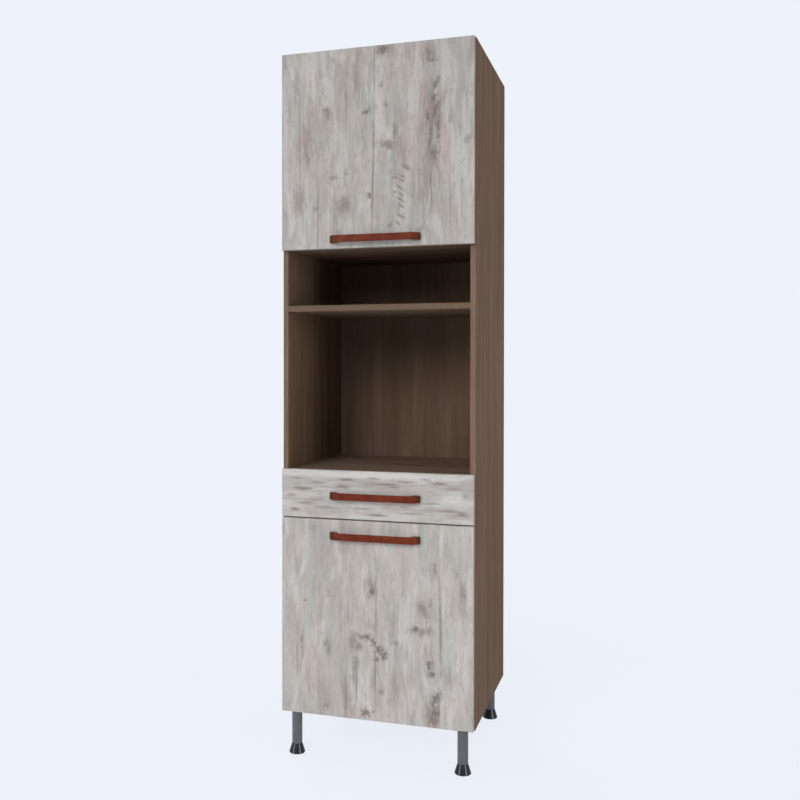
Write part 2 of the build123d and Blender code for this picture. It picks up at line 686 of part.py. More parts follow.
# Strut brackets: an angle on the flap whose ear carries the stud, and a plate on the side panel
EAR_T = 2.0
EAR_R = 7.0
EAR_GAP = 1.0
EAR_AT = STRUT_X - EYE_HALF - EAR_GAP - EAR_T
STUD_PAST = 1.8
FLAP_FOOT_W = 22.0
FLAP_FOOT_HALF = 12.0
with BuildPart() as flap_brackets:
    for side in (-1, 1):
        ear = side * EAR_AT
        foot_middle = ear - side * (FLAP_FOOT_W / 2 - EAR_T)
        with BuildSketch(Plane.XZ.offset(-FRONT_BACK)):
            with Locations((foot_middle, FLAP_STUD.Z)):
                Rectangle(FLAP_FOOT_W, 2 * FLAP_FOOT_HALF)
        extrude(amount=-EAR_T)
        with BuildSketch(Plane.YZ.offset(ear)):
            with BuildLine():
                Polyline(
                    (FLAP_STUD.Y, FLAP_STUD.Z - EAR_R),
                    (FRONT_BACK, FLAP_STUD.Z - FLAP_FOOT_HALF),
                    (FRONT_BACK, FLAP_STUD.Z + FLAP_FOOT_HALF),
                    (FLAP_STUD.Y, FLAP_STUD.Z + EAR_R),
                )
                ThreePointArc(
                    (FLAP_STUD.Y, FLAP_STUD.Z + EAR_R),
                    (FLAP_STUD.Y + EAR_R, FLAP_STUD.Z),
                    (FLAP_STUD.Y, FLAP_STUD.Z - EAR_R),
                )
            make_face()
        extrude(amount=side * EAR_T)
        with BuildSketch(Plane.YZ.offset(ear + side * EAR_T)):
            with Locations((FLAP_STUD.Y, FLAP_STUD.Z)):
                Circle(STUD_R)
        extrude(amount=side * (2 * EYE_HALF + STUD_PAST))
write(flap_brackets, "flap_strut_brackets")

SIDE_FOOT_W = 28.0
SIDE_FOOT_H = 46.0
SIDE_FOOT_CORNER = 5.0
STUD_GAP = 0.5
STUD_TIP = STRUT_X + ROD_END_HALF + STUD_GAP
with BuildPart() as side_brackets:
    for side in (-1, 1):
        with BuildSketch(Plane.YZ.offset(side * SIDE_IN)):
            with Locations((BODY_STUD.Y, BODY_STUD.Z)):
                side_foot = Rectangle(SIDE_FOOT_W, SIDE_FOOT_H)
            chamfer(side_foot.vertices(), SIDE_FOOT_CORNER)
        extrude(amount=-side * EAR_T)
        with BuildSketch(Plane.YZ.offset(side * (SIDE_IN - EAR_T))):
            with Locations((BODY_STUD.Y, BODY_STUD.Z)):
                Circle(STUD_HEAD_R)
        extrude(amount=-side * (SIDE_IN - EAR_T - STUD_TIP))
write(side_brackets, "side_strut_brackets")

# Legs: a socket plate under the body, a tube pushed on its spigot and a flared foot whose thick stem screws
# into the tube
SOCKET_PLATE = 60.0
SOCKET_CORNER = 7.0
SOCKET_T = 5.0
SPIGOT_H = 22.0
SPIGOT_PLAY = 0.2
TUBE_BORE = 13.5
STEM_PLAY = 0.3
STEM_R = TUBE_BORE - STEM_PLAY
STEM_L = 38.0
FOOT_PLAY = 0.3
FOOT_RIM = 2.5
FOOT_RIM_IN = 1.25
FOOT_TOP_R = LEG_TUBE_R + 0.2
LEG_X = BODY_W / 2 - LEG_INSET
LEG_FRONT_Y = BODY_FRONT + LEG_FRONT_SETBACK
LEG_REAR_Y = BODY_REAR - LEG_REAR_SETBACK
LEGS = {
    "front_left": (-LEG_X, LEG_FRONT_Y, 1),
    "front_right": (LEG_X, LEG_FRONT_Y, 1),
    "rear_left": (-LEG_X, LEG_REAR_Y, -1),
    "rear_right": (LEG_X, LEG_REAR_Y, -1),
}

with BuildPart() as leg_sockets:
    for x, y, inward in LEGS.values():
        plate_y = y + inward * (SOCKET_PLATE / 2 - LEG_TUBE_R)
        with BuildSketch(Plane.XY.offset(LEG_H - SOCKET_T)):
            with Locations((x, plate_y)):
                socket_plate = Rectangle(SOCKET_PLATE, SOCKET_PLATE)
            chamfer(socket_plate.vertices(), SOCKET_CORNER)
        extrude(amount=SOCKET_T)
        with BuildSketch(Plane.XY.offset(LEG_H - SOCKET_T - SPIGOT_H)):
            with Locations((x, y)):
                Circle(TUBE_BORE - SPIGOT_PLAY)
        extrude(amount=SPIGOT_H)
write(leg_sockets, "leg_sockets")

with BuildPart() as leg_tubes:
    with BuildSketch(Plane.XY.offset(FOOT_H + FOOT_PLAY)):
        with Locations(*[(x, y) for x, y, inward in LEGS.values()]):
            Circle(LEG_TUBE_R)
            Circle(TUBE_BORE, mode=Mode.SUBTRACT)
    extrude(amount=LEG_H - SOCKET_T - FOOT_H - FOOT_PLAY)
write(leg_tubes, "leg_tubes")

for corner, (x, y, inward) in LEGS.items():
    with BuildPart() as foot:
        with BuildSketch(Plane(origin=(x, y, 0), x_dir=(1, 0, 0), z_dir=(0, -1, 0))):
            with BuildLine():
                Polyline(
                    (0, 0),
                    (FOOT_R - FOOT_RIM_IN, 0),
                    (FOOT_R, FOOT_RIM),
                    (FOOT_TOP_R, FOOT_H),
                    (STEM_R, FOOT_H),
                    (STEM_R, FOOT_H + STEM_L),
                    (0, FOOT_H + STEM_L),
                    close=True,
                )
            make_face()
        revolve(axis=Axis((x, y, 0), (0, 0, 1)))
    write(foot, f"foot_{corner}")
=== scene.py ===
import math

import bmesh
import bpy
from mathutils import Matrix, Vector


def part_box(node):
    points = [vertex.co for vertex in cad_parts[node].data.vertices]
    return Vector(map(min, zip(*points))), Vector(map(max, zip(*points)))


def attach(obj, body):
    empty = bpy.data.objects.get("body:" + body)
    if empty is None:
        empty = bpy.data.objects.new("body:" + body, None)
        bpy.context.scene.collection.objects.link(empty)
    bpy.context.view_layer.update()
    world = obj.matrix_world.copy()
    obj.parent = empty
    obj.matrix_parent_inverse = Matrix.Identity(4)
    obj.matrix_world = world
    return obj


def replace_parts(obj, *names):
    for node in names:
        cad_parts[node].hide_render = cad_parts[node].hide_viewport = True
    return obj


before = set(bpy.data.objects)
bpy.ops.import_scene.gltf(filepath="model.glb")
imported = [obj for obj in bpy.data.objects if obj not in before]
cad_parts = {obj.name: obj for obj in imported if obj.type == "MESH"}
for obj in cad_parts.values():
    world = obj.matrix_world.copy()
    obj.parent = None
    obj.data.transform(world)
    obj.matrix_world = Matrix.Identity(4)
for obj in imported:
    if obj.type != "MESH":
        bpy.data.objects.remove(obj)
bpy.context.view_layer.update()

# Carcass: two side panels, six boards fixed between them and two loose shelves, of 16 mm melamine-faced
# chipboard in one dark wood print whose grain runs the long way of each board. Dowels and cam fittings join
# them, and a glued band of the same print closes their front edges.
# The level boards and the side panels' bands take a lighter copy of the print, as painted light, and the back
# panel and the level boards' bands a darker copy, as painted shade.
MM = 0.001


def colour(code):
    """Turns an sRGB hex colour into the linear one that a shader takes."""
    channels = [int(code[i : i + 2], 16) / 255 for i in (1, 3, 5)]
    return [c / 12.92 if c <= 0.04045 else ((c + 0.055) / 1.055) ** 2.4 for c in channels] + [1.0]


def add(tree, kind, settings=(), links=()):
    """Adds a shader node with its properties, socket values and ramp stops, and links its inputs. A socket is
    given by its name, or by its number where the node has several of one name."""
    node = tree.nodes.new("ShaderNode" + kind)
    for key, value in dict(settings).items():
        if key == "stops":
            stops = node.color_ramp.elements
            while len(stops) < len(value):
                stops.new(1.0)
            for stop, (place, tint) in zip(stops, value):
                stop.position = place
                stop.color = colour(tint) if isinstance(tint, str) else (tint, tint, tint, 1.0)
        elif key == "steps":
            node.color_ramp.interpolation = value
        elif isinstance(key, str) and hasattr(node, key):
            setattr(node, key, value)
        else:
            node.inputs[key].default_value = value
    for key, source in dict(links).items():
        tree.links.new(getattr(source, "outputs", [source])[0], node.inputs[key])
    return node


def finish(name, roughness, metallic=0.0, **constants):
    """Starts the material of one finish and gives its node tree and shader."""
    material = bpy.data.materials.new(name)
    material.use_nodes = True
    tree = material.node_tree
    shader = tree.nodes["Principled BSDF"]
    shader.inputs["Roughness"].default_value = roughness
    shader.inputs["Metallic"].default_value = metallic
    for socket, value in constants.items():
        shader.inputs[socket.replace("_", " ")].default_value = value
    return material, tree, shader


# The way of a grain: 1 for each of X, Y and Z that lies across it, 0 for the one along it
GRAIN_UP = (1, 1, 0)
GRAIN_ACROSS = (0, 1, 1)


def streaks(tree, grain, wide, long, detail, shift=0.0, harshness=0.62):
    """Noise drawn out along the grain: its features are about wide by long millimetres."""
    spot = add(tree, "TexCoord").outputs["Object"]
    scale = [1 / ((wide if across else long) * MM) for across in grain]
    drawn = add(tree, "Mapping", {"Scale": scale, "Location": (shift, shift, shift)}, {"Vector": spot})
    return add(tree, "TexNoise", {"Scale": 1.0, "Detail": detail, "Roughness": harshness}, {"Vector": drawn})


def fade(start, full, strength):
    """Settings of a Map Range that brings a mark in as its noise goes from a start to a full value."""
    return {"From Min": start, "From Max": full, "To Min": 0.0, "To Max": strength}


def lay_over(tree, below, factor, above, blend="MIX"):
    """Lays a colour over the print so far, by a factor. Sockets 6 and 7 are the two colours of a Mix node."""
    settings = {"data_type": "RGBA", "blend_type": blend}
    links = {6: below}
    if isinstance(factor, float):
        settings["Factor"] = factor
    else:
        links["Factor"] = factor
    if isinstance(above, str):
        settings[7] = colour(above)
    else:
        links[7] = above
    return add(tree, "Mix", settings, links).outputs[2]


def vary_shine(tree, shader, noise, smooth, rough):
    """Lets the roughness drift with a noise between two values."""
    settings = {"From Min": 0.3, "From Max": 0.7, "To Min": smooth, "To Max": rough}
    shine = add(tree, "MapRange", settings, {"Value": noise})
    tree.links.new(shine.outputs[0], shader.inputs["Roughness"])


def press(tree, shader, pattern, strength, depth):
    """Presses a pattern into the surface, to a depth in mm."""
    relief = add(tree, "Bump", {"Strength": strength, "Distance": depth * MM}, {"Height": pattern})
    tree.links.new(relief.outputs[0], shader.inputs["Normal"])


BOARD_PRINT = ((0.32, "#695342"), (0.5, "#745E4B"), (0.68, "#7F6854"))
# The level boards' tones are lighter than the side panels' own print: painted light.
LEVEL_PRINT_PAINTED_LIGHT = ((0.32, "#745F50"), (0.5, "#806B5B"), (0.68, "#8B7666"))
# The back panel's tones are darker than the side panels' own print: painted shade.
BACK_PRINT_PAINTED_SHADE = ((0.32, "#625041"), (0.5, "#6C594A"), (0.68, "#776454"))
# The side panels' band tones are lighter than the print, as painted light; the level boards' band tones are
# darker, as painted shade.
UPRIGHT_BAND_PRINT_PAINTED_LIGHT = ((0.32, "#6F5B4B"), (0.5, "#7B6756"), (0.68, "#867161"))
LEVEL_BAND_PRINT_PAINTED_SHADE = ((0.32, "#5E4D3D"), (0.5, "#67574A"), (0.68, "#716154"))

# Marks on the print's ground: how wide and long in mm, how detailed, how far off in the noise, the noise
# values between which they fade in, their strength and their colour
PATCHES = (90, 700, 1.0, 17, 0.45, 0.70, 0.45, "#78605A")
VEINS = (11, 260, 3.0, 4, 0.42, 0.74, 0.50, "#574537")
THREADS = (2.6, 90, 3.0, 9, 0.52, 0.78, 0.45, "#4E3F33")
GROUND_WIDE = 60
GROUND_LONG = 900


def carcass_decor(name, grain, shift, tones):
    """Melamine-faced board, dark wood print: matt brown with warmer patches, darker veins and fine threads,
    and a light pressed grain."""
    material, tree, shader = finish(name, 0.75, IOR=1.5, Specular_IOR_Level=0.04)
    ground = streaks(tree, grain, GROUND_WIDE, GROUND_LONG, 2.0, shift)
    print_so_far = add(tree, "ValToRGB", {"stops": tones}, {"Fac": ground})
    noises = []
    for wide, long, detail, off, start, full, strength, tint in (PATCHES, VEINS, THREADS):
        noises.append(streaks(tree, grain, wide, long, detail, shift + off))
        shown = add(tree, "MapRange", fade(start, full, strength), {"Value": noises[-1]})
        print_so_far = lay_over(tree, print_so_far, shown, tint)
    tree.links.new(print_so_far, shader.inputs["Base Color"])
    veins, threads = noises[1:]
    vary_shine(tree, shader, veins, 0.68, 0.8)
    press(tree, shader, threads, 0.25, 0.15)
    return material


def dress(material, *nodes):
    """Gives carried-over pieces their finish."""
    for node in nodes:
        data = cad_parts[node].data
        data.materials.clear()
        data.materials.append(material)


upright_board = carcass_decor("melamine_board_upright_grain", GRAIN_UP, 0.0, BOARD_PRINT)
# The level boards take the lighter tones of the print: painted light.
level_board_painted_light = carcass_decor("melamine_board_level_grain_painted_light", GRAIN_ACROSS, 31.0, LEVEL_PRINT_PAINTED_LIGHT)
SIDE_PANELS = ("side_panel_left", "side_panel_right")
LEVEL_BOARDS = (
    "bottom_panel",
    "front_rail",
    "oven_deck",
    "niche_shelf",
    "niche_ceiling",
    "top_panel",
    "lower_shelf",
    "upper_shelf",
)
dress(upright_board, *SIDE_PANELS)
dress(level_board_painted_light, *LEVEL_BOARDS)

MERGED_BELOW = 1e-7
SMOOTH_BELOW = math.radians(34)


def fit(mesh, name, material, body):
    """Turns a finished mesh into a named piece that rides on a body."""
    bmesh.ops.remove_doubles(mesh, verts=mesh.verts, dist=MERGED_BELOW)
    bmesh.ops.recalc_face_normals(mesh, faces=mesh.faces)
    for face in mesh.faces:
        face.smooth = True
    for edge in mesh.edges:
        edge.smooth = len(edge.link_faces) == 2 and edge.calc_face_angle(0) < SMOOTH_BELOW
    data = bpy.data.meshes.new(name)
    mesh.to_mesh(data)
    mesh.free()
    data.materials.append(material)
    piece = bpy.data.objects.new(name, data)
    bpy.context.scene.collection.objects.link(piece)
    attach(piece, body)
    return piece


def block(mesh, low, high, rounding):
    """Adds a block between two corners with all its edges rounded."""
    low, high = Vector(low), Vector(high)
    place = Matrix.Translation((low + high) / 2) @ Matrix.Diagonal((*(high - low), 1))
    corners = set(bmesh.ops.create_cube(mesh, size=1.0, matrix=place)["verts"])
    edges = [edge for edge in mesh.edges if corners.issuperset(edge.verts)]
    bmesh.ops.bevel(
        mesh, geom=edges, offset=rounding, segments=2, profile=0.5, affect="EDGES", material=-1
    )


BAND_PROUD = 0.4 * MM
BAND_THICK = 0.9 * MM
BAND_ROUND = 0.35 * MM
BAND_INSET = 0.1 * MM


def edge_bands(name, boards, material):
    """Makes the bands on the front edges of some boards, each a little proud of its board."""
    bands = bmesh.new()
    for board in boards:
        low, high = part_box(board)
        face = low.y - BAND_PROUD
        block(
            bands,
            (low.x + BAND_INSET, face, low.z + BAND_INSET),
            (high.x - BAND_INSET, face + BAND_THICK, high.z - BAND_INSET),
            BAND_ROUND,
        )
    fit(bands, name, material, "cabinet")


# The side panels' bands take the lighter band tones, as painted light, and the level boards' bands the darker
# ones, as painted shade.
upright_band_painted_light = carcass_decor("edge_band_upright_grain_painted_light", GRAIN_UP, 5.0, UPRIGHT_BAND_PRINT_PAINTED_LIGHT)
level_band_painted_shade = carcass_decor("edge_band_level_grain_painted_shade", GRAIN_ACROSS, 36.0, LEVEL_BAND_PRINT_PAINTED_SHADE)
edge_bands("side_panel_edge_bands", SIDE_PANELS, upright_band_painted_light)
edge_bands("board_edge_bands", LEVEL_BOARDS, level_band_painted_shade)

# Back panel: 4 mm hardboard, printed on the inside to match the carcass and left as bare brown fibre on the
# outside. Its inside print is darker than the carcass's, as painted shade. It slides into grooves in the side
# panels and closes the whole height.
FIBRE = 5.0
BARE_FIBRE = ((0.36, "#675140"), (0.5, "#775F49"), (0.64, "#886E55"))


def printed_hardboard_with_painted_shade(name, grain, middle_y):
    """Hardboard: the dark print inside, darker than the carcass's as painted shade, and bare pressed fibre
    with fine mottling behind.
    """
    material = carcass_decor(name, grain, 57.0, BACK_PRINT_PAINTED_SHADE)
    tree = material.node_tree
    shader = tree.nodes["Principled BSDF"]
    inside = shader.inputs["Base Color"].links[0].from_socket
    spot = add(tree, "TexCoord").outputs["Object"]
    fibre = add(
        tree, "TexNoise", {"Scale": 1 / (FIBRE * MM), "Detail": 6.0, "Roughness": 0.75}, {"Vector": spot}
    )
    bare = add(tree, "ValToRGB", {"stops": BARE_FIBRE}, {"Fac": fibre})
    cloud = streaks(tree, GRAIN_UP, 120, 300, 3.0, 70.0)
    cloudy = add(tree, "MapRange", fade(0.4, 0.65, 0.5), {"Value": cloud})
    outside = lay_over(tree, bare, cloudy, "#6B5644")
    place = add(tree, "SeparateXYZ", {}, {"Vector": spot})
    behind = add(tree, "Math", {"operation": "GREATER_THAN", 1: middle_y}, {0: place.outputs["Y"]})
    tree.links.new(lay_over(tree, inside, behind, outside), shader.inputs["Base Color"])
    return material


low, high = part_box("back_panel")
dress(printed_hardboard_with_painted_shade("printed_hardboard_with_painted_shade", GRAIN_UP, (low.y + high.y) / 2), "back_panel")

# Fronts: 18 mm melamine-faced board with a whitewashed pine print, an edge band and a soft arris all round.
# The flap and the lower door have their grain upright, the drawer front has it level.
PINE_GROUND = ((0.36, "#A9A29E"), (0.64, "#B5B1AD"))

# Patches of the print, broad ones first: how wide and long in mm, how much detail and swirl, the noise values
# between which each fades in, its strength and colour
PINE_PATCHES = (
    (44, 230, 1.0, 0.2, 0.47, 0.61, 0.65, "#B5A8A4"),
    (36, 190, 1.0, 0.2, 0.48, 0.62, 0.60, "#A3A5A0"),
    (38, 210, 2.0, 0.4, 0.49, 0.61, 0.60, "#C1BFBC"),
    (22, 95, 2.0, 0.8, 0.52, 0.67, 0.50, "#98918D"),
    (12, 34, 2.0, 0.8, 0.55, 0.71, 0.40, "#8C8682"),
    (7, 150, 2.0, 0.2, 0.52, 0.70, 0.30, "#8E8985"),
    (5, 36, 2.0, 0.3, 0.50, 0.72, 0.15, "#8A8581"),
    (6, 30, 2.0, 0.4, 0.56, 0.72, 0.18, "#CFCDCA"),
)

# How wide and long the frays at a mark's rim are, in mm: drawn out along the grain, or nearly round
STREAKY = (7, 60)
SPOTTY = (8, 13)
RAGGED = 11.1

# A mark is full up to the first of these shares of the way to its rim, and gone at the second. It runs right
# through the board, to this depth in metres, so that face and edges agree.
FULL_UNTIL = 0.1
GONE_AT = 1.4
THROUGH = 100


def marks(tree, at, ovals):
    """How far a point lies from the nearest of some marks in the print: 0 in a mark's middle, 1 at its rim.
    Each oval is its place across and along the grain, half its width and length, in mm, and its lean."""
    nearest = None
    for across, along, half_wide, half_long, lean in ovals:
        oval = add(
            tree,
            "Mapping",
            {
                "vector_type": "TEXTURE",
                "Location": (across * MM, 0, along * MM),
                "Rotation": (0, math.radians(lean), 0),
                "Scale": (half_wide * MM, THROUGH, half_long * MM),
            },
            {"Vector": at},
        )
        away = add(tree, "VectorMath", {"operation": "LENGTH"}, {0: oval}).outputs["Value"]
        if nearest is not None:
            away = add(tree, "Math", {"operation": "MINIMUM"}, {0: away, 1: nearest}).outputs[0]
        nearest = away
    return nearest


def pine_decor(name, node, planks, layers, shift=0.0, level=False):
    """Melamine-faced board, whitewashed pine print: pale and matt, with planks of slightly different tone,
    soft patches, brushed streaks and the seams, stains and knots of the print. Each plank is where it starts
    across the grain, in mm from the middle, and its grey. Each layer of marks has its wobble in mm, the
    raggedness of its rims and the frays there, its strength, its colour and its ovals."""
    low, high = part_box(node)
    middle = (low + high) / 2
    material, tree, shader = finish(name, 0.55, IOR=1.5, Specular_IOR_Level=0.14)
    spot = add(tree, "TexCoord").outputs["Object"]
    centred = add(tree, "VectorMath", {"operation": "SUBTRACT", 1: (middle.x, 0, middle.z)}, {0: spot})
    grain = add(tree, "Mapping", {"Rotation": (0, math.radians(90 if level else 0), 0)}, {"Vector": centred})

    def drawn(wide, long, detail, off, swirl=0.0):
        """Noise drawn out along the grain of this front, features wide by long millimetres."""
        place = shift + off
        stretched = add(
            tree,
            "Mapping",
            {
                "Scale": (1 / (wide * MM), 1 / (wide * MM), 1 / (long * MM)),
                "Location": (place, place * 0.7, place * 1.3),
            },
            {"Vector": grain},
        )
        return add(
            tree,
            "TexNoise",
            {"Scale": 1.0, "Detail": detail, "Roughness": 0.6, "Distortion": swirl},
            {"Vector": stretched},
        )

    print_so_far = add(tree, "ValToRGB", {"stops": PINE_GROUND}, {"Fac": drawn(80, 260, 2.0, 0)})
    for row, (wide, long, detail, swirl, start, full, strength, tint) in enumerate(PINE_PATCHES):
        noise = drawn(wide, long, detail, 5 * row + 5, swirl)
        shown = add(tree, "MapRange", fade(start, full, strength), {"Value": noise})
        print_so_far = lay_over(tree, print_so_far, shown, tint)

    half = (high.z - low.z if level else high.x - low.x) / 2
    across = add(tree, "SeparateXYZ", {}, {"Vector": grain}).outputs["X"]
    share = add(tree, "MapRange", {"From Min": -half, "From Max": half}, {"Value": across})
    greys = [((start * MM + half) / 2 / half, grey) for start, grey in planks]
    plank_tone = add(tree, "ValToRGB", {"steps": "CONSTANT", "stops": greys}, {"Fac": share})
    print_so_far = lay_over(tree, print_so_far, 1.0, plank_tone, "SOFT_LIGHT")

    ragged = add(
        tree, "TexNoise", {"Scale": 1 / (RAGGED * MM), "Detail": 3.0, "Roughness": 0.65}, {"Vector": grain}
    )
    for wobble, fray, fray_size, strength, tint, ovals in layers:
        push = wobble * MM
        pushed = add(
            tree,
            "VectorMath",
            {"operation": "MULTIPLY_ADD", 1: (push, 0, push)},
            {0: ragged.outputs["Color"], 2: grain},
        )
        settled = add(tree, "VectorMath", {"operation": "ADD", 1: (-push / 2, 0, -push / 2)}, {0: pushed})
        rim = add(
            tree,
            "Math",
            {"operation": "MULTIPLY_ADD", 1: fray},
            {0: drawn(*fray_size, 3.0, 73), 2: marks(tree, settled, ovals)},
        )
        settings = {
            "interpolation_type": "SMOOTHSTEP",
            "From Min": FULL_UNTIL + fray / 2,
            "From Max": GONE_AT + fray / 2,
            "To Min": strength,
            "To Max": 0.0,
        }
        mask = add(tree, "MapRange", settings, {"Value": rim})
        print_so_far = lay_over(tree, print_so_far, mask, tint)
    tree.links.new(print_so_far, shader.inputs["Base Color"])

    fine = drawn(4, 60, 3.0, 61)
    vary_shine(tree, shader, fine, 0.44, 0.58)
    press(tree, shader, fine, 0.3, 0.2)
    return material


# Flap: the upper front, which lifts up. Its print has one long seam near its middle, a brown stained streak
# right of it, small grey knots, and a run of slanting saw marks low on the right. Each mark is its place
# across and up from the front's middle, half its width and length, in mm, and its lean in degrees.
# The flap's plank greys all lie below the middle grey of 0.5, which darkens the whole flap against the other
# fronts: painted shade.
FLAP_PLANKS_PAINTED_SHADE = ((-300, 0.445), (-181, 0.415), (-91, 0.405), (-6, 0.435), (117, 0.405), (197, 0.415))
FLAP_STAINS = (
    (176, 85, 22, 92, 0),
    (176, -45, 18, 60, 0),
    (-215, 30, 28, 85, 4),
    (-57, 200, 12, 72, -2),
    (-100, -180, 26, 38, 10),
    (45, 4, 32, 18, 15),
    (60, 40, 10, 34, 0),
    (28, 284, 30, 24, 0),
    (166, 255, 26, 30, 0),
    (-240, -150, 26, 50, 0),
    (150, -130, 26, 80, 3),
    (80, -20, 24, 46, -12),
    (-150, 112, 14, 18, 0),
)
FLAP_STREAK = ((171, 95, 30, 105, 0), (168, -45, 24, 85, 0))
FLAP_SEAMS = (
    (-6, -50, 3.2, 250, 1),
    (-181, -205, 3.0, 110, 0),
    (171, -150, 3.4, 62, -4),
)
FLAP_FAINT_SEAMS = (
    (-2, 230, 3.0, 90, 1),
    (-91, 130, 3.0, 130, 0),
    (197, 95, 3.2, 200, 0),
    (117, -140, 2.4, 110, 0),
    (-240, 60, 2.4, 180, 0),
    (228, -150, 2.4, 140, 0),
)
FLAP_KNOTS = (
    (-24, 106, 9, 15, 50),
    (186, 172, 8, 20, 22),
    (179, 132, 11, 16, 20),
    (184, 96, 15, 30, 0),
    (190, 55, 7, 30, 0),
    (168, 18, 8, 38, 3),
    (191, 20, 6, 20, 0),
    (159, 80, 8, 16, 0),
    (179, -32, 12, 16, 0),
    (23, 286, 20, 15, 0),
    (172, 243, 14, 8, 0),
    (-19, -146, 10, 9, 0),
)
FLAP_SPECKS = (
    (164, 263, 15, 15, 0),
    (-155, 117, 11, 10, 0),
    (-148, 98, 5, 16, 0),
    (-131, -87, 16, 7, 0),
    (-91, -75, 8, 10, 0),
    (-188, -181, 13, 9, 0),
    (-95, -170, 18, 22, 0),
    (39, 0, 24, 14, 12),
    (60, 39, 7, 26, 0),
    (279, 4, 8, 16, 30),
    (46, -239, 9, 9, 30),
    (19, 177, 6, 16, 0),
    (33, 122, 8, 7, 0),
    (-211, -26, 5, 16, 0),
)
SAW_MARKS = (
    (96, -69, 8, 16, -48),
    (84, -94, 3.4, 12, -55),
    (61, -97, 3.8, 10, -87),
    (82, -106, 4.0, 14, -55),
    (77, -126, 4.2, 19, -47),
    (62, -139, 3.8, 10, -84),
    (80, -148, 3.6, 13, -52),
    (78, -162, 4.2, 16, -55),
    (81, -182, 4.2, 13, -48),
    (80, -211, 4.0, 20, -61),
    (70, -232, 4.0, 11, -39),
)
FLAP_LAYERS = (
    (14.0, 3.0, STREAKY, 0.65, "#877C78", FLAP_STAINS),
    (14.0, 3.0, STREAKY, 0.50, "#84776F", FLAP_STREAK),
    (3.0, 1.4, STREAKY, 0.85, "#78716D", FLAP_SEAMS),
    (3.0, 1.4, STREAKY, 0.45, "#78716D", FLAP_FAINT_SEAMS),
    (14.0, 3.0, SPOTTY, 0.8, "#6A635E", FLAP_KNOTS),
    (14.0, 3.0, SPOTTY, 0.5, "#6A635E", FLAP_SPECKS),
    (9.0, 1.0, SPOTTY, 0.95, "#7D7671", SAW_MARKS),
)
flap_print_with_painted_shade = pine_decor("melamine_board_pine_print_flap_with_painted_shade", "upper_flap", FLAP_PLANKS_PAINTED_SHADE, FLAP_LAYERS)
dress(flap_print_with_painted_shade, "upper_flap")

# Drawer front: level streaks, a pale patch right of the handle, and rows of dark flecks along its top and its
# bottom. Its grain lies across, so each mark's first place is upwards and its second runs to the left.
DRAWER_PLANKS = ((-80, 0.52), (-18, 0.50), (25, 0.47), (52, 0.52))
DRAWER_PATCHES = ((0, -235, 24, 50, 0), (60, 0, 10, 280, 0))
DRAWER_SEAMS = (
    (-18, 230, 1.8, 110, 0),
    (22, 150, 1.8, 70, 0),
    (34, -80, 1.7, 90, 0),
    (-36, -170, 1.7, 120, 0),
)
DRAWER_STAINS = (
    (17, 222, 13, 42, 0),
    (-28, 215, 11, 40, 0),
    (40, -45, 9, 80, 0),
    (28, 98, 11, 32, 0),
    (-46, -250, 11, 36, 0),
    (-52, 20, 8, 60, 0),
    (44, -190, 8, 50, 0),
)
DRAWER_KNOTS = (
    (36, -33, 5.0, 46, 0),
    (46, 90, 5.4, 26, 0),
    (45, -101, 4.4, 31, 0),
    (-57, 1, 4.4, 38, 0),
    (-45, -266, 6.5, 20, 0),
    (30, -57, 4.8, 19, 0),
    (15, 224, 6.4, 34, 0),
    (45, -198, 4.4, 28, 0),
    (-50, 253, 5.6, 16, 0),
)
DRAWER_SPECKS = (
    (47, 250, 5.0, 25, 0),
    (24, 100, 6.4, 22, 0),
    (55, -153, 4.6, 19, 0),
    (-29, 221, 5.4, 28, 0),
    (-41, 153, 4.6, 37, 0),
    (-34, -224, 4.4, 37, 0),
    (31, -233, 4.6, 25, 0),
    (35, 182, 4.2, 28, 0),
    (-47, -119, 4.4, 37, 0),
    (-40, 41, 4.0, 40, 0),
    (9, -274, 8.0, 12, 0),
    (-7, 270, 6.4, 16, 0),
    (53, 4, 4.0, 22, 0),
    (-15, -174, 4.2, 34, 0),
)
DRAWER_LAYERS = (
    (8.0, 1.0, STREAKY, 0.6, "#C7C5C3", DRAWER_PATCHES),
    (2.0, 1.2, STREAKY, 0.6, "#8A8582", DRAWER_SEAMS),
    (8.0, 2.0, STREAKY, 0.45, "#938A88", DRAWER_STAINS),
    (5.0, 2.0, STREAKY, 0.80, "#766F6B", DRAWER_KNOTS),
    (5.0, 2.0, STREAKY, 0.55, "#7C7571", DRAWER_SPECKS),
)
drawer_print = pine_decor(
    "melamine_board_pine_print_drawer",
    "drawer_front",
    DRAWER_PLANKS,
    DRAWER_LAYERS,
    shift=40.0,
    level=True,
)
dress(drawer_print, "drawer_front")

# Lower door: the front that turns on two hinges at its left. Its print has two broken seams, a large grey
# knot beside the middle one with brown stains around it, and a stained streak down its right.
DOOR_PLANKS = ((-300, 0.475), (-150, 0.465), (-62, 0.485), (3, 0.485), (118, 0.505), (200, 0.535))
DOOR_STAINS = (
    (-62, -72, 18, 34, 0),
    (-36, -50, 30, 12, -12),
    (-16, 105, 22, 40, 0),
    (-58, -150, 14, 50, 0),
    (147, 50, 34, 30, 12),
    (140, -18, 34, 14, 0),
    (176, -262, 30, 60, 0),
    (167, -125, 18, 34, 0),
    (265, 90, 16, 60, 0),
    (-234, -100, 10, 70, 0),
    (60, -30, 12, 70, 0),
    (-150, -85, 12, 40, 0),
    (180, 160, 18, 30, 12),
    (-191, 276, 16, 18, 0),
    (-101, 285, 16, 22, 0),
    (60, -190, 16, 60, 0),
    (-92, -234, 10, 50, 0),
)
DOOR_STREAK = (
    (172, -268, 19, 44, 0),
    (184, -212, 10, 16, 30),
    (162, -90, 16, 34, 0),
    (228, -150, 30, 34, 0),
)
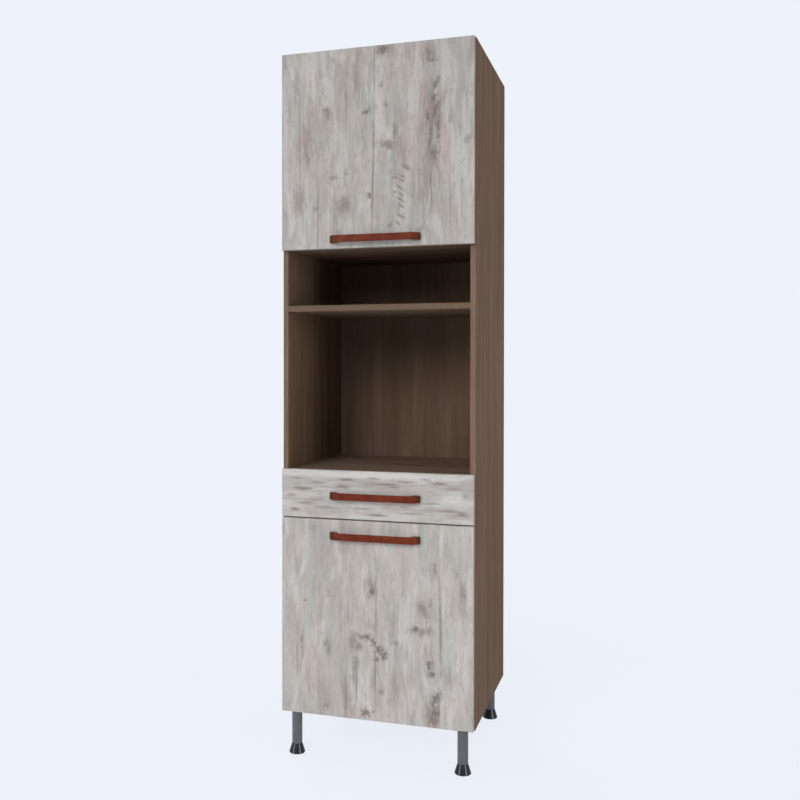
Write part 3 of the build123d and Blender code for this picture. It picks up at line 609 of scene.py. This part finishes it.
DOOR_SEAMS = (
    (200, 14, 4.9, 160, -1),
    (4, 55, 2.4, 120, 0),
    (1, -175, 3.0, 90, 0),
    (-57, -200, 2.6, 70, 0),
    (-248, -136, 2.4, 90, 0),
    (-91, -230, 2.2, 60, 0),
    (197, -250, 2.8, 50, 0),
)
DOOR_KNOTS = (
    (14, -84, 15, 14, -20),
    (28, -98, 19, 18, -30),
    (6, -113, 11, 10, 30),
    (-4, -62, 10, 18, -25),
    (-28, -50, 14, 8, -15),
    (124, -10, 14, 9, -35),
    (188, -214, 14, 30, 32),
    (186, -262, 12, 36, 0),
    (-30, -280, 16, 14, 30),
    (166, -117, 12, 15, 20),
    (174, -142, 14, 9, 0),
    (-10, 88, 9, 17, 20),
)
DOOR_SPECKS = (
    (-70, -62, 16, 24, -10),
    (-47, -46, 22, 8, 15),
    (-50, -80, 12, 16, -40),
    (-14, 116, 14, 16, 0),
    (143, -24, 18, 9, -70),
    (166, -14, 9, 16, 0),
    (150, 46, 28, 12, 60),
    (172, 66, 7, 14, 0),
    (183, 168, 7, 18, -15),
    (-153, -77, 10, 12, 0),
    (-147, -99, 6, 16, 0),
    (-223, 49, 10, 5, 0),
    (-234, -76, 6, 20, 0),
    (-61, -125, 9, 26, 0),
    (67, -60, 10, 9, 0),
    (19, -209, 11, 11, 0),
    (-4, -274, 8, 8, 0),
    (172, -274, 14, 22, 0),
    (-153, -269, 8, 14, 0),
    (251, 158, 6, 14, 0),
    (268, 112, 8, 30, 0),
)
DOOR_LAYERS = (
    (14.0, 3.0, STREAKY, 0.50, "#8C837F", DOOR_STAINS),
    (10.0, 2.0, STREAKY, 0.42, "#877E7A", DOOR_STREAK),
    (2.5, 1.4, STREAKY, 0.80, "#7B7571", DOOR_SEAMS),
    (14.0, 3.0, SPOTTY, 0.8, "#6A635E", DOOR_KNOTS),
    (14.0, 3.0, SPOTTY, 0.45, "#6C6560", DOOR_SPECKS),
)
door_print = pine_decor(
    "melamine_board_pine_print_door", "lower_door", DOOR_PLANKS, DOOR_LAYERS, shift=80.0
)
dress(door_print, "lower_door")

# Handles: three equal bows, pressed and bent from zinc alloy and screwed on from behind. Their antique copper
# lacquer is a dull red brown with fine brushed lines, and darker towards the ends, where the bow turns back.

# How far in from its ends a handle is dark, and how far right of even the dark lies
DARK_END = 17 * MM
DARK_SHIFT = 5 * MM
COPPER_TONES = ((0.3, "#5A2518"), (0.5, "#652C1C"), (0.7, "#703523"))
PATINA = 18.2
BRUSHED_WIDE = 1.11
BRUSHED_LONG = 71


def mottled(name, tones, speck, detail, roughness, shine=None, relief=None, **constants):
    """Makes a finish whose colour drifts between tones, in soft specks of a size in mm. Its shine, as two
    roughnesses, and its relief, as a strength and a depth in mm, may follow the specks."""
    material, tree, shader = finish(name, roughness, **constants)
    spot = add(tree, "TexCoord").outputs["Object"]
    specks = add(tree, "TexNoise", {"Scale": 1 / (speck * MM), "Detail": detail}, {"Vector": spot})
    shade = add(tree, "ValToRGB", {"stops": tones}, {"Fac": specks})
    tree.links.new(shade.outputs[0], shader.inputs["Base Color"])
    if shine:
        vary_shine(tree, shader, specks, *shine)
    if relief:
        press(tree, shader, specks, *relief)
    return material


def copper_lacquer(name, half_long):
    """Copper lacquer: barely shiny, red brown in the middle and dark brown at the two ends."""
    material = mottled(
        name, COPPER_TONES, speck=PATINA, detail=3.0, roughness=0.5, IOR=1.5, Specular_IOR_Level=0.05
    )
    tree = material.node_tree
    shader = tree.nodes["Principled BSDF"]
    middle = shader.inputs["Base Color"].links[0].from_socket
    spot = add(tree, "TexCoord").outputs["Object"]
    place = add(tree, "SeparateXYZ", {}, {"Vector": spot})
    shifted = add(tree, "Math", {"operation": "SUBTRACT", 1: DARK_SHIFT}, {0: place.outputs["X"]})
    out = add(tree, "Math", {"operation": "ABSOLUTE"}, {0: shifted})
    settings = fade(half_long - DARK_END, half_long - DARK_END / 3, 0.9)
    dark = add(tree, "MapRange", {"interpolation_type": "SMOOTHSTEP", **settings}, {"Value": out})
    tree.links.new(lay_over(tree, middle, dark, "#453221"), shader.inputs["Base Color"])
    lines = streaks(tree, GRAIN_ACROSS, BRUSHED_WIDE, BRUSHED_LONG, 3.0, harshness=0.5)
    vary_shine(tree, shader, lines, 0.34, 0.5)
    press(tree, shader, lines, 0.15, 0.05)
    return material


low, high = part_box("flap_handle")
copper = copper_lacquer("antique_copper_lacquer_on_zinc_alloy", (high.x - low.x) / 2)
dress(copper, "flap_handle", "drawer_handle", "door_handle")

# Steel hardware: bright zinc on the screws, runners and brackets, nickel on the hinges. It is pressed and
# rolled from sheet, then plated in a barrel, which leaves a faint cloudy variation in the shine.
CLOUD = 14.3


def plated_steel(name, light, dark, roughness):
    """Plated sheet steel: metallic, with the cloudy shine that barrel plating leaves."""
    tones = ((0.3, dark), (0.7, light))
    shine = (roughness - 0.04, roughness + 0.06)
    return mottled(name, tones, speck=CLOUD, detail=4.0, roughness=roughness, shine=shine, metallic=1.0)


zinc = plated_steel("zinc_plated_steel", "#B9BCC0", "#9EA2A8", 0.36)
nickel = plated_steel("nickel_plated_steel", "#D3CFC7", "#C6C2BA", 0.22)
dress(
    zinc,
    "flap_handle_screws",
    "drawer_handle_screws",
    "door_handle_screws",
    "runner_cabinet_member_left",
    "runner_cabinet_member_right",
    "runner_middle_member_left",
    "runner_middle_member_right",
    "runner_drawer_member_left",
    "runner_drawer_member_right",
    "runner_outer_cages",
    "runner_inner_cages",
    "wall_brackets",
    "flap_strut_brackets",
    "side_strut_brackets",
)

# Handle screws: two pan-headed screws hold each bow through its front. Their heads come with the frame, and
# each gets the cross recess that it is turned by.
LEFT = (-1, 0, 0)
RIGHT = (1, 0, 0)
BACK = (0, 1, 0)
FORTH = (0, -1, 0)
UP = (0, 0, 1)
DOWN = (0, 0, -1)
PAN_HEAD = 4.2
RECESS_SUNK = 0.1

# Shares of a head's radius: half the cross, how far off both its lines a corner lies, its taper and its depth
CROSS_HALF = 0.52
CROSS_CORNER = 0.2
CROSS_TAPER = 0.05
CROSS_DEEP = 0.3

# How far up the crown each step of the head is, and its share of the width
HEAD_STEPS = ((0.45, 1.0), (0.55, 0.66))


def cross_head(radius, crown):
    """One screw head, facing up: a rim, a low crown and a tapered cross recess. Sizes in mm."""
    head = bmesh.new()
    bmesh.ops.create_circle(head, cap_ends=True, segments=20, radius=radius * MM)
    rim = list(head.edges)
    for rise, width in HEAD_STEPS:
        raised = bmesh.ops.extrude_edge_only(head, edges=rim)["geom"]
        corners = [item for item in raised if isinstance(item, bmesh.types.BMVert)]
        edges = [item for item in raised if isinstance(item, bmesh.types.BMEdge)]
        rim = [edge for edge in edges if set(edge.verts) <= set(corners)]
        bmesh.ops.scale(head, vec=(width, width, 1), verts=corners)
        bmesh.ops.translate(head, vec=(0, 0, rise * crown * MM), verts=corners)
    size = radius * CROSS_HALF * MM
    grid = bmesh.ops.create_grid(head, x_segments=3, y_segments=3, size=size)["verts"]
    bmesh.ops.translate(head, vec=(0, 0, crown * MM), verts=grid)
    squares = [face for face in head.faces if set(face.verts) <= set(grid)]
    corner = radius * CROSS_CORNER * MM
    away = {face: face.calc_center_median() for face in squares}
    outer = [face for face in squares if min(abs(away[face].x), abs(away[face].y)) > corner]
    bmesh.ops.delete(head, geom=outer, context="FACES")
    cross = [face for face in squares if face.is_valid]
    border = [edge for face in cross for edge in face.edges if edge.is_boundary]
    bmesh.ops.bridge_loops(head, edges=rim + border)
    bmesh.ops.inset_region(
        head,
        faces=cross,
        thickness=radius * CROSS_TAPER * MM,
        depth=-radius * CROSS_DEEP * MM,
        use_even_offset=True,
    )
    return head


def stand_on(mesh, part, centre, facing):
    """Adds a copy of a small part that was made facing up, on a face of another piece. Places are in mm."""
    turn = Vector(UP).rotation_difference(Vector(facing)).to_matrix().to_4x4()
    copy = part.copy()
    copy.transform(Matrix.Translation(Vector(centre) * MM) @ turn)
    data = bpy.data.meshes.new("copy")
    copy.to_mesh(data)
    copy.free()
    mesh.from_mesh(data)
    bpy.data.meshes.remove(data)


def screw_set(name, head, places, material, body):
    """Makes one piece of several screw heads, each with its place and the way that it faces."""
    heads = bmesh.new()
    for centre, facing in places:
        stand_on(heads, head, centre, facing)
    fit(heads, name, material, body)


def box_mm(node):
    """The lowest and highest corners of a node, in mm."""
    return [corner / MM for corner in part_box(node)]


for leaf, body in (("flap", "flap"), ("drawer", "drawer"), ("door", "lower_door")):
    low, high = box_mm(f"{leaf}_handle_screws")
    at_z = (low.z + high.z) / 2
    places = [((x, high.y - RECESS_SUNK, at_z), BACK) for x in (low.x + PAN_HEAD, high.x - PAN_HEAD)]
    screw_set(f"{leaf}_handle_screw_recesses", cross_head(3.1, 0.5), places, zinc, body)

# Drawer front screws: four countersunk screws, driven from inside the drawer box, hold the front to it. Their
# zinc-plated heads lie a little proud of the board.
DRAWER_SCREW_X = 205.0
FROM_BOTTOM = 26.0
FROM_TOP = 22.0
low, high = box_mm("drawer_box_front")
places = [
    ((x, high.y, z), BACK)
    for x in (-DRAWER_SCREW_X, DRAWER_SCREW_X)
    for z in (low.z + FROM_BOTTOM, high.z - FROM_TOP)
]
screw_set("drawer_front_screws", cross_head(3.8, 0.6), places, zinc, "drawer")

# Cam fittings: die-cast cams let into the fixed boards near each end, flush, with a cross recess to turn them
# by. They are on the sides that a fitted oven or the fronts hide.
CAM_X = 250.0
CAM_YS = (-165.0, 165.0)
RAIL_CAM_YS = (-215.0,)
CAM_FACES = (
    ("bottom_panel", DOWN, CAM_YS),
    ("front_rail", DOWN, RAIL_CAM_YS),
    ("oven_deck", DOWN, CAM_YS),
    ("niche_shelf", UP, CAM_YS),
    ("niche_ceiling", UP, CAM_YS),
    ("top_panel", DOWN, CAM_YS),
)
places = []
for node, facing, depths in CAM_FACES:
    low, high = box_mm(node)
    face_z = high.z if facing == UP else low.z
    places += [((x, y, face_z), facing) for x in (-CAM_X, CAM_X) for y in depths]
screw_set("cam_fittings", cross_head(7.5, 0.5), places, zinc, "cabinet")

# Wall bracket screws: the two angle brackets that tie the cabinet to the wall hang under the top panel. One
# round-headed wood screw holds each.
BRACKET_HALF = 15.0
SCREW_BACK = 14.0
BRACKET_THICK = 2.5
low, high = box_mm("wall_brackets")
places = [
    ((x, low.y + SCREW_BACK, high.z - BRACKET_THICK), DOWN)
    for x in (low.x + BRACKET_HALF, high.x - BRACKET_HALF)
]
screw_set("wall_bracket_screws", cross_head(4.2, 1.8), places, zinc, "cabinet")

# Hinges: nickel-plated cups, arms and plates. Countersunk screws hold each cup and each plate, and two set
# screws on the arm shift the front sideways and backwards. A screw's place is taken from the middle of its
# hinge's pin.
PIN_HALF = 5.0
CUP_SCREWS = ((19.7, 9.5, 24.0), (19.7, 9.5, -24.0))
PLATE_SCREWS = ((11.0, 47.5, 18.0), (11.0, 47.5, -18.0))
SET_SCREWS = ((21.0, 40.0, 0.0), (21.0, 62.0, 0.0))
for leaf, leaf_body, turn in (
    ("flap", "flap", Matrix.Rotation(math.radians(90), 4, "Y")),
    ("door", "lower_door", Matrix.Identity(4)),
):
    dress(nickel, *[f"{leaf}_hinge_{part}" for part in ("cups", "pins", "arms", "plates")])
    low, high = box_mm(f"{leaf}_hinge_pins")
    axis = turn @ Vector(UP)
    reach = axis * ((high - low).dot(axis) / 2 - PIN_HALF)
    hinges = [Matrix.Translation((low + high) / 2 + way * reach) @ turn for way in (-1, 1)]
    for part, screws, facing, size, body in (
        ("cup", CUP_SCREWS, BACK, (3.6, 0.6), leaf_body),
        ("plate", PLATE_SCREWS, RIGHT, (4.2, 0.8), "cabinet"),
        ("arm", SET_SCREWS, RIGHT, (3.4, 1.0), "cabinet"),
    ):
        places = [(hinge @ Vector(at), hinge.to_3x3() @ Vector(facing)) for hinge in hinges for at in screws]
        screw_set(f"{leaf}_hinge_{part}_screws", cross_head(*size), places, nickel, body)

# Drawer box: sides, front and back of 16 mm white melamine-faced board round a white hardboard base. It is a
# slightly warm white, with the fine stipple of a pressed melamine face.
WHITE_TONES = ((0.35, "#D9D7D1"), (0.65, "#E2E0DB"))
white_board = mottled(
    "white_melamine_board", WHITE_TONES, speck=1.11, detail=2.0, roughness=0.45, relief=(0.2, 0.1), IOR=1.5
)
dress(white_board, "drawer_side_left", "drawer_side_right", "drawer_box_front", "drawer_back", "drawer_base")

# Gas struts: black painted steel cylinders with a crimped groove at the mouth, chromed rods that slide in
# them, and moulded end fittings that snap on studs. The paint has a fine orange peel, and the rods shine
# almost like mirrors.
BLACK_TONES = ((0.3, "#16171A"), (0.7, "#202124"))
strut_black = mottled(
    "black_painted_steel", BLACK_TONES, speck=1.67, detail=2.0, roughness=0.35, relief=(0.12, 0.05), IOR=1.5
)
rod_chrome = plated_steel("chromed_steel_rod", "#D6D8DB", "#CBCED1", 0.14)
TURN_STEPS = 32


def turned(profile):
    """Spins an outline of radius and rise, in mm, round an upright axis. One that starts off it is a ring."""
    part = bmesh.new()
    corners = [part.verts.new((radius * MM, 0, rise * MM)) for radius, rise in profile]
    if profile[0][0] > 0:
        corners.append(corners[0])
    outline = part.verts[:] + [part.edges.new(pair) for pair in zip(corners, corners[1:])]
    bmesh.ops.spin(
        part, geom=outline, cent=(0, 0, 0), axis=UP, angle=math.tau, steps=TURN_STEPS, use_merge=True
    )
    bmesh.ops.remove_doubles(part, verts=part.verts, dist=MERGED_BELOW)
    return part


# The studs, and the outlines of a strut's parts: most are measured along the strut from the flap's stud, the
# eye and the rod's end from the middle of their own stud
STRUT_X = 272.0
FLAP_STUD = Vector((0, -245.5, 2073.2))
BODY_STUD = Vector((0, -218.0, 1913.2))
STRUT_LONG = (BODY_STUD - FLAP_STUD).length
STRUT_WAY = (BODY_STUD - FLAP_STUD).normalized()
MOUTH = STRUT_LONG - 17
BORE = 3.3
BORE_END = 19.0
CYLINDER = (
    (0, 6.5),
    (3.4, 6.5),
    (3.4, 10.4),
    (5.6, 11.0),
    (6.9, 11.5),
    (7.5, 12.6),
    (7.5, MOUTH - 9.4),
    (6.8, MOUTH - 8.6),
    (6.8, MOUTH - 7.4),
    (7.5, MOUTH - 6.6),
    (7.5, MOUTH - 1.2),
    (6.6, MOUTH),
    (BORE, MOUTH),
    (BORE, BORE_END),
    (0, BORE_END),
)
EYE = ((3.3, -3.6), (3.7, -4.0), (6.3, -4.0), (7.0, -3.3), (7.0, 3.3), (6.3, 4.0), (3.7, 4.0), (3.3, 3.6))
ROD_TOP = STRUT_LONG - 6
ROD = ((0, 20.0), (2.2, 20.0), (3.0, 20.8), (3.0, ROD_TOP), (0, ROD_TOP))
NECK = STRUT_LONG - 11
COLLAR = ((0, NECK), (3.6, NECK), (4.6, NECK + 1), (4.6, NECK + 7), (0, NECK + 7))
ROD_END = ((0, -3.6), (6.2, -3.6), (7.0, -2.8), (7.0, 2.8), (6.2, 3.6), (0, 3.6))
SEAL = ((3.15, MOUTH - 1), (5.8, MOUTH - 1), (5.8, MOUTH + 0.6), (4.9, MOUTH + 1.8), (3.15, MOUTH + 1.4))
cylinders = bmesh.new()
rods = bmesh.new()
rod_ends = bmesh.new()
seals = bmesh.new()
for x in (-STRUT_X, STRUT_X):
    aside = Vector((x, 0, 0))
    stand_on(cylinders, turned(CYLINDER), FLAP_STUD + aside, STRUT_WAY)
    stand_on(cylinders, turned(EYE), FLAP_STUD + aside, RIGHT)
    stand_on(rods, turned(ROD), FLAP_STUD + aside, STRUT_WAY)
    stand_on(rod_ends, turned(COLLAR), FLAP_STUD + aside, STRUT_WAY)
    stand_on(rod_ends, turned(ROD_END), BODY_STUD + aside, RIGHT)
    stand_on(seals, turned(SEAL), FLAP_STUD + aside, STRUT_WAY)
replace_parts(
    fit(cylinders, "strut_pressure_cylinders", strut_black, "strut_cylinders"),
    "strut_cylinders",
)
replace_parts(fit(rods, "strut_piston_rods", rod_chrome, "strut_rods"), "strut_rods")
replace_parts(fit(rod_ends, "strut_rod_ends", strut_black, "strut_rods"), "strut_rods")
fit(seals, "strut_mouth_seals", strut_black, "strut_cylinders")

# Strut bracket screws: two countersunk wood screws hold each bracket, on the back of the flap and on the
# inner faces of the side panels. The brackets are plates 2 mm thick.
PLATE_THICK = 2.0
FLAP_SCREW_X = 253.0
FLAP_SCREW_UP = 7.0
SIDE_SCREW_UP = 16.0
flap_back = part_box("upper_flap")[1].y / MM + PLATE_THICK
places = [
    ((x, flap_back, FLAP_STUD.z + up), BACK)
    for x in (-FLAP_SCREW_X, FLAP_SCREW_X)
    for up in (-FLAP_SCREW_UP, FLAP_SCREW_UP)
]
screw_set("flap_strut_bracket_screws", cross_head(3.6, 0.9), places, zinc, "flap")
panel_inside = -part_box("side_panel_left")[1].x / MM
plate_x = panel_inside - PLATE_THICK
places = [
    ((x, BODY_STUD.y, BODY_STUD.z + up), facing)
    for x, facing in ((-plate_x, RIGHT), (plate_x, LEFT))
    for up in (-SIDE_SCREW_UP, SIDE_SCREW_UP)
]
screw_set("side_strut_bracket_screws", cross_head(3.6, 0.9), places, zinc, "cabinet")

# Shelf supports: moulded polycarbonate brackets pushed in the side panels' holes. The grey plastic looks hazy
# and has a soft shine.
SUPPORT_TONES = ((0.3, "#A8A6A2"), (0.7, "#BAB8B4"))
support_plastic = mottled(
    "moulded_polycarbonate", SUPPORT_TONES, speck=4.17, detail=2.0, roughness=0.3, IOR=1.58
)
dress(support_plastic, "shelf_supports")

# Hole caps: moulded caps close the spare shelf holes above and below each shelf, 32 mm apart. They are brown
# polyethylene, close to the board's colour and a little waxy.
CAP_TONES = ((0.3, "#4E3C2F"), (0.7, "#5A4738"))
cap_plastic = mottled(
    "moulded_brown_polyethylene", CAP_TONES, speck=3.33, detail=2.0, roughness=0.5, IOR=1.5
)
CAP_TAPER = 0.92
CAP_SOFT = 0.7


def button(radius, height):
    """A low round cap, facing up, with a soft rim. Sizes in mm."""
    cap = bmesh.new()
    bmesh.ops.create_cone(
        cap,
        cap_ends=True,
        segments=16,
        radius1=radius * MM,
        radius2=radius * CAP_TAPER * MM,
        depth=height * MM,
    )
    bmesh.ops.translate(cap, vec=(0, 0, height / 2 * MM), verts=cap.verts)
    rim = [edge for edge in cap.edges if all(corner.co.z > height / 2 * MM for corner in edge.verts)]
    bmesh.ops.bevel(
        cap, geom=rim, offset=height * CAP_SOFT * MM, segments=3, profile=0.5, affect="EDGES", material=-1
    )
    return cap


HOLE_PITCH = 32.0
HOLE_BELOW = 7.0
HOLE_STEPS = (-3, -2, -1, 1, 2, 3)
SUPPORT_HALF = 6.0
low, high = box_mm("shelf_supports")
hole_ys = (low.y + SUPPORT_HALF, high.y - SUPPORT_HALF)
caps = bmesh.new()
for shelf in ("lower_shelf", "upper_shelf"):
    hole_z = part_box(shelf)[0].z / MM - HOLE_BELOW
    for step in HOLE_STEPS:
        for y in hole_ys:
            for x, facing in ((-panel_inside, RIGHT), (panel_inside, LEFT)):
                stand_on(caps, button(4.0, 0.8), (x, y, hole_z + step * HOLE_PITCH), facing)
fit(caps, "shelf_hole_caps", cap_plastic, "cabinet")

# Door buffers: soft dots of clear silicone, stuck on the side panels' edge bands where the closing fronts
# meet them. They look like small milky lenses.
SILICONE_TONES = ((0.3, "#D5D6D4"), (0.7, "#E2E3E1"))
silicone = mottled(
    "clear_silicone",
    SILICONE_TONES,
    speck=2.0,
    detail=2.0,
    roughness=0.25,
    IOR=1.41,
    Transmission_Weight=0.6,
)
BUFFER_X = 292.0

# The height of each row of buffers, and the sides that it is on
BUFFER_ROWS = ((1600, (-1, 1)), (700, (1,)), (180, (1,)), (760, (-1, 1)), (870, (-1, 1)))
band_face = (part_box("side_panel_left")[0].y - BAND_PROUD) / MM
buffers = bmesh.new()
for z, sides in BUFFER_ROWS:
    for side in sides:
        stand_on(buffers, button(4.0, 1.4), (side * BUFFER_X, band_face, z), FORTH)
fit(buffers, "door_buffers", silicone, "cabinet")

# Legs: extruded tubes of grey ABS on black sockets, and glossy black feet that screw into them. The tubes are
# satin with faint drawn lines, and the polished feet catch clear highlights. Four screws hold each socket.
TUBE_TONES = ((0.3, "#4B4E51"), (0.7, "#55585B"))
LINES_WIDE = 2.0
LINES_LONG = 111
leg_grey, tree, shader = finish("extruded_grey_abs", 0.38, IOR=1.53)
lines = streaks(tree, GRAIN_UP, LINES_WIDE, LINES_LONG, 3.0, harshness=0.5)
shade = add(tree, "ValToRGB", {"stops": TUBE_TONES}, {"Fac": lines})
tree.links.new(shade.outputs[0], shader.inputs["Base Color"])
press(tree, shader, lines, 0.15, 0.05)
dress(leg_grey, "leg_tubes")
FOOT_TONES = ((0.3, "#161A1F"), (0.7, "#20262C"))
foot_black = mottled(
    "polished_black_abs",
    FOOT_TONES,
    speck=6.25,
    detail=3.0,
    roughness=0.1,
    shine=(0.07, 0.13),
    IOR=1.53,
    Specular_IOR_Level=0.2,
)
dress(foot_black, "leg_sockets")
dress(foot_black, "foot_front_left", "foot_front_right", "foot_rear_left", "foot_rear_right")
SOCKET_HALF = 30.0
SOCKET_PLATE = 5.0
SCREW_OUT = 22.0
low, high = box_mm("leg_sockets")
places = [
    ((x + out * SCREW_OUT, y + back * SCREW_OUT, high.z - SOCKET_PLATE), DOWN)
    for x in (low.x + SOCKET_HALF, high.x - SOCKET_HALF)
    for y in (low.y + SOCKET_HALF, high.y - SOCKET_HALF)
    for out in (-1, 1)
    for back in (-1, 1)
]
screw_set("leg_socket_screws", cross_head(4.0, 1.6), places, zinc, "cabinet")

# Studio: a plain pale floor that fades into the pale backdrop, an even sky, four soft lamps, and two cards
# that show in glossy surfaces alone. The floor keeps the cabinet's shadow.
BACKDROP = "#EEF2FA"
SKY_STRENGTH = 0.42


def sees_backdrop(tree):
    """1 for a ray that the camera, a shiny surface or a clear one sends out, else 0."""
    rays = add(tree, "LightPath").outputs
    glossy = add(tree, "Math", {"operation": "MAXIMUM"}, {0: rays["Is Camera Ray"], 1: rays["Is Glossy Ray"]})
    return add(tree, "Math", {"operation": "MAXIMUM"}, {0: glossy, 1: rays["Is Transmission Ray"]})


world = bpy.data.worlds.new("studio")
bpy.context.scene.world = world
world.use_nodes = True
tree = world.node_tree
sky = tree.nodes["Background"]
sky.inputs["Color"].default_value = colour("#FFFFFF")
sky.inputs["Strength"].default_value = SKY_STRENGTH
backdrop = add(tree, "Background", {"Color": colour(BACKDROP), "Strength": 1.0})
picked = add(tree, "MixShader", {}, {0: sees_backdrop(tree), 1: sky, 2: backdrop})
tree.links.new(picked.outputs[0], tree.nodes["World Output"].inputs["Surface"])

FLOOR_RADIUS = 14.0

# How much of the backdrop's plain colour the floor takes near the cabinet, and how far from its middle, in
# metres, the floor starts to take more and has taken all of it
NEAR_SHARE = 0.92
FADE_START = 0.9
FADE_END = 4.0
floor_mesh = bmesh.new()
bmesh.ops.create_circle(floor_mesh, cap_ends=True, segments=96, radius=FLOOR_RADIUS)
floor_data = bpy.data.meshes.new("floor")
floor_mesh.to_mesh(floor_data)
floor_mesh.free()
floor = bpy.data.objects.new("floor", floor_data)
bpy.context.scene.collection.objects.link(floor)
FLOOR_TONES = ((0.3, "#F8F9FC"), (0.7, "#FCFDFF"))
floor_paint = mottled("pale_floor", FLOOR_TONES, speck=333, detail=2.0, roughness=0.9)
floor_data.materials.append(floor_paint)
tree = floor_paint.node_tree
spot = add(tree, "TexCoord").outputs["Object"]
away = add(tree, "VectorMath", {"operation": "LENGTH"}, {0: spot}).outputs["Value"]
settings = {"From Min": FADE_START, "From Max": FADE_END, "To Min": NEAR_SHARE, "To Max": 1.0}
far = add(tree, "MapRange", {"interpolation_type": "SMOOTHSTEP", **settings}, {"Value": away})
shown = add(tree, "Math", {"operation": "MULTIPLY"}, {0: sees_backdrop(tree), 1: far})
glow = add(tree, "Emission", {"Color": colour(BACKDROP), "Strength": 1.0})
ground = add(tree, "MixShader", {}, {0: shown, 1: tree.nodes["Principled BSDF"], 2: glow})
tree.links.new(ground.outputs[0], tree.nodes["Material Output"].inputs["Surface"])


def softbox(name, place, aim, wide, tall, power, spread=180, gloss_only=False):
    """A soft lamp, or a card that shows in glossy surfaces alone, that points at a spot on the cabinet."""
    lamp = bpy.data.lights.new(name, "AREA")
    lamp.shape = "RECTANGLE"
    lamp.size = wide
    lamp.size_y = tall
    lamp.energy = power
    lamp.spread = math.radians(spread)
    holder = bpy.data.objects.new(name, lamp)
    holder.location = place
    holder.visible_camera = False
    holder.visible_diffuse = not gloss_only
    holder.rotation_euler = (Vector(aim) - Vector(place)).to_track_quat("-Z", "Y").to_euler()
    bpy.context.scene.collection.objects.link(holder)


softbox("front_softbox", (-1.2, -7.6, 4.0), (0, 0, 0.4), 3.6, 3.0, 41, spread=60)
softbox("left_softbox", (-2.7, -3.9, 1.3), (0, 0, 0.7), 0.7, 2.0, 26)
softbox("right_softbox", (4.2, -2.0, 1.5), (0, 0, 1.0), 0.8, 2.2, 41)
softbox("left_card", (-3.0, -3.6, 1.2), (0, 0, 0.4), 1.4, 1.6, 50, gloss_only=True)
softbox("right_card", (4.0, -2.5, 1.2), (0, 0, 0.4), 1.4, 1.6, 50, gloss_only=True)
softbox("rear_softbox", (-2.5, 4.5, 2.8), (0, 0, 1.1), 2.6, 2.6, 90)

# Camera: at chest height, right of the cabinet and turned towards its left, as in the photograph. The small
# shift moves the cabinet to its place in the picture.
CAMERA_PLACE = (0.8123, -3.182, 1.2134)
CAMERA_TURN = 18.69
CAMERA_DIP = 0.69
lens = bpy.data.cameras.new("camera")
lens.sensor_width = 36.0
lens.lens = 45.22
lens.shift_x = 0.099
lens.shift_y = -0.03
lens.clip_start = 0.05
lens.clip_end = 60.0
camera = bpy.data.objects.new("camera", lens)
camera.location = CAMERA_PLACE
camera.rotation_euler = (math.radians(90 - CAMERA_DIP), 0, math.radians(CAMERA_TURN))
bpy.context.scene.collection.objects.link(camera)
bpy.context.scene.camera = camera
bpy.context.scene.view_settings.view_transform = "Standard"
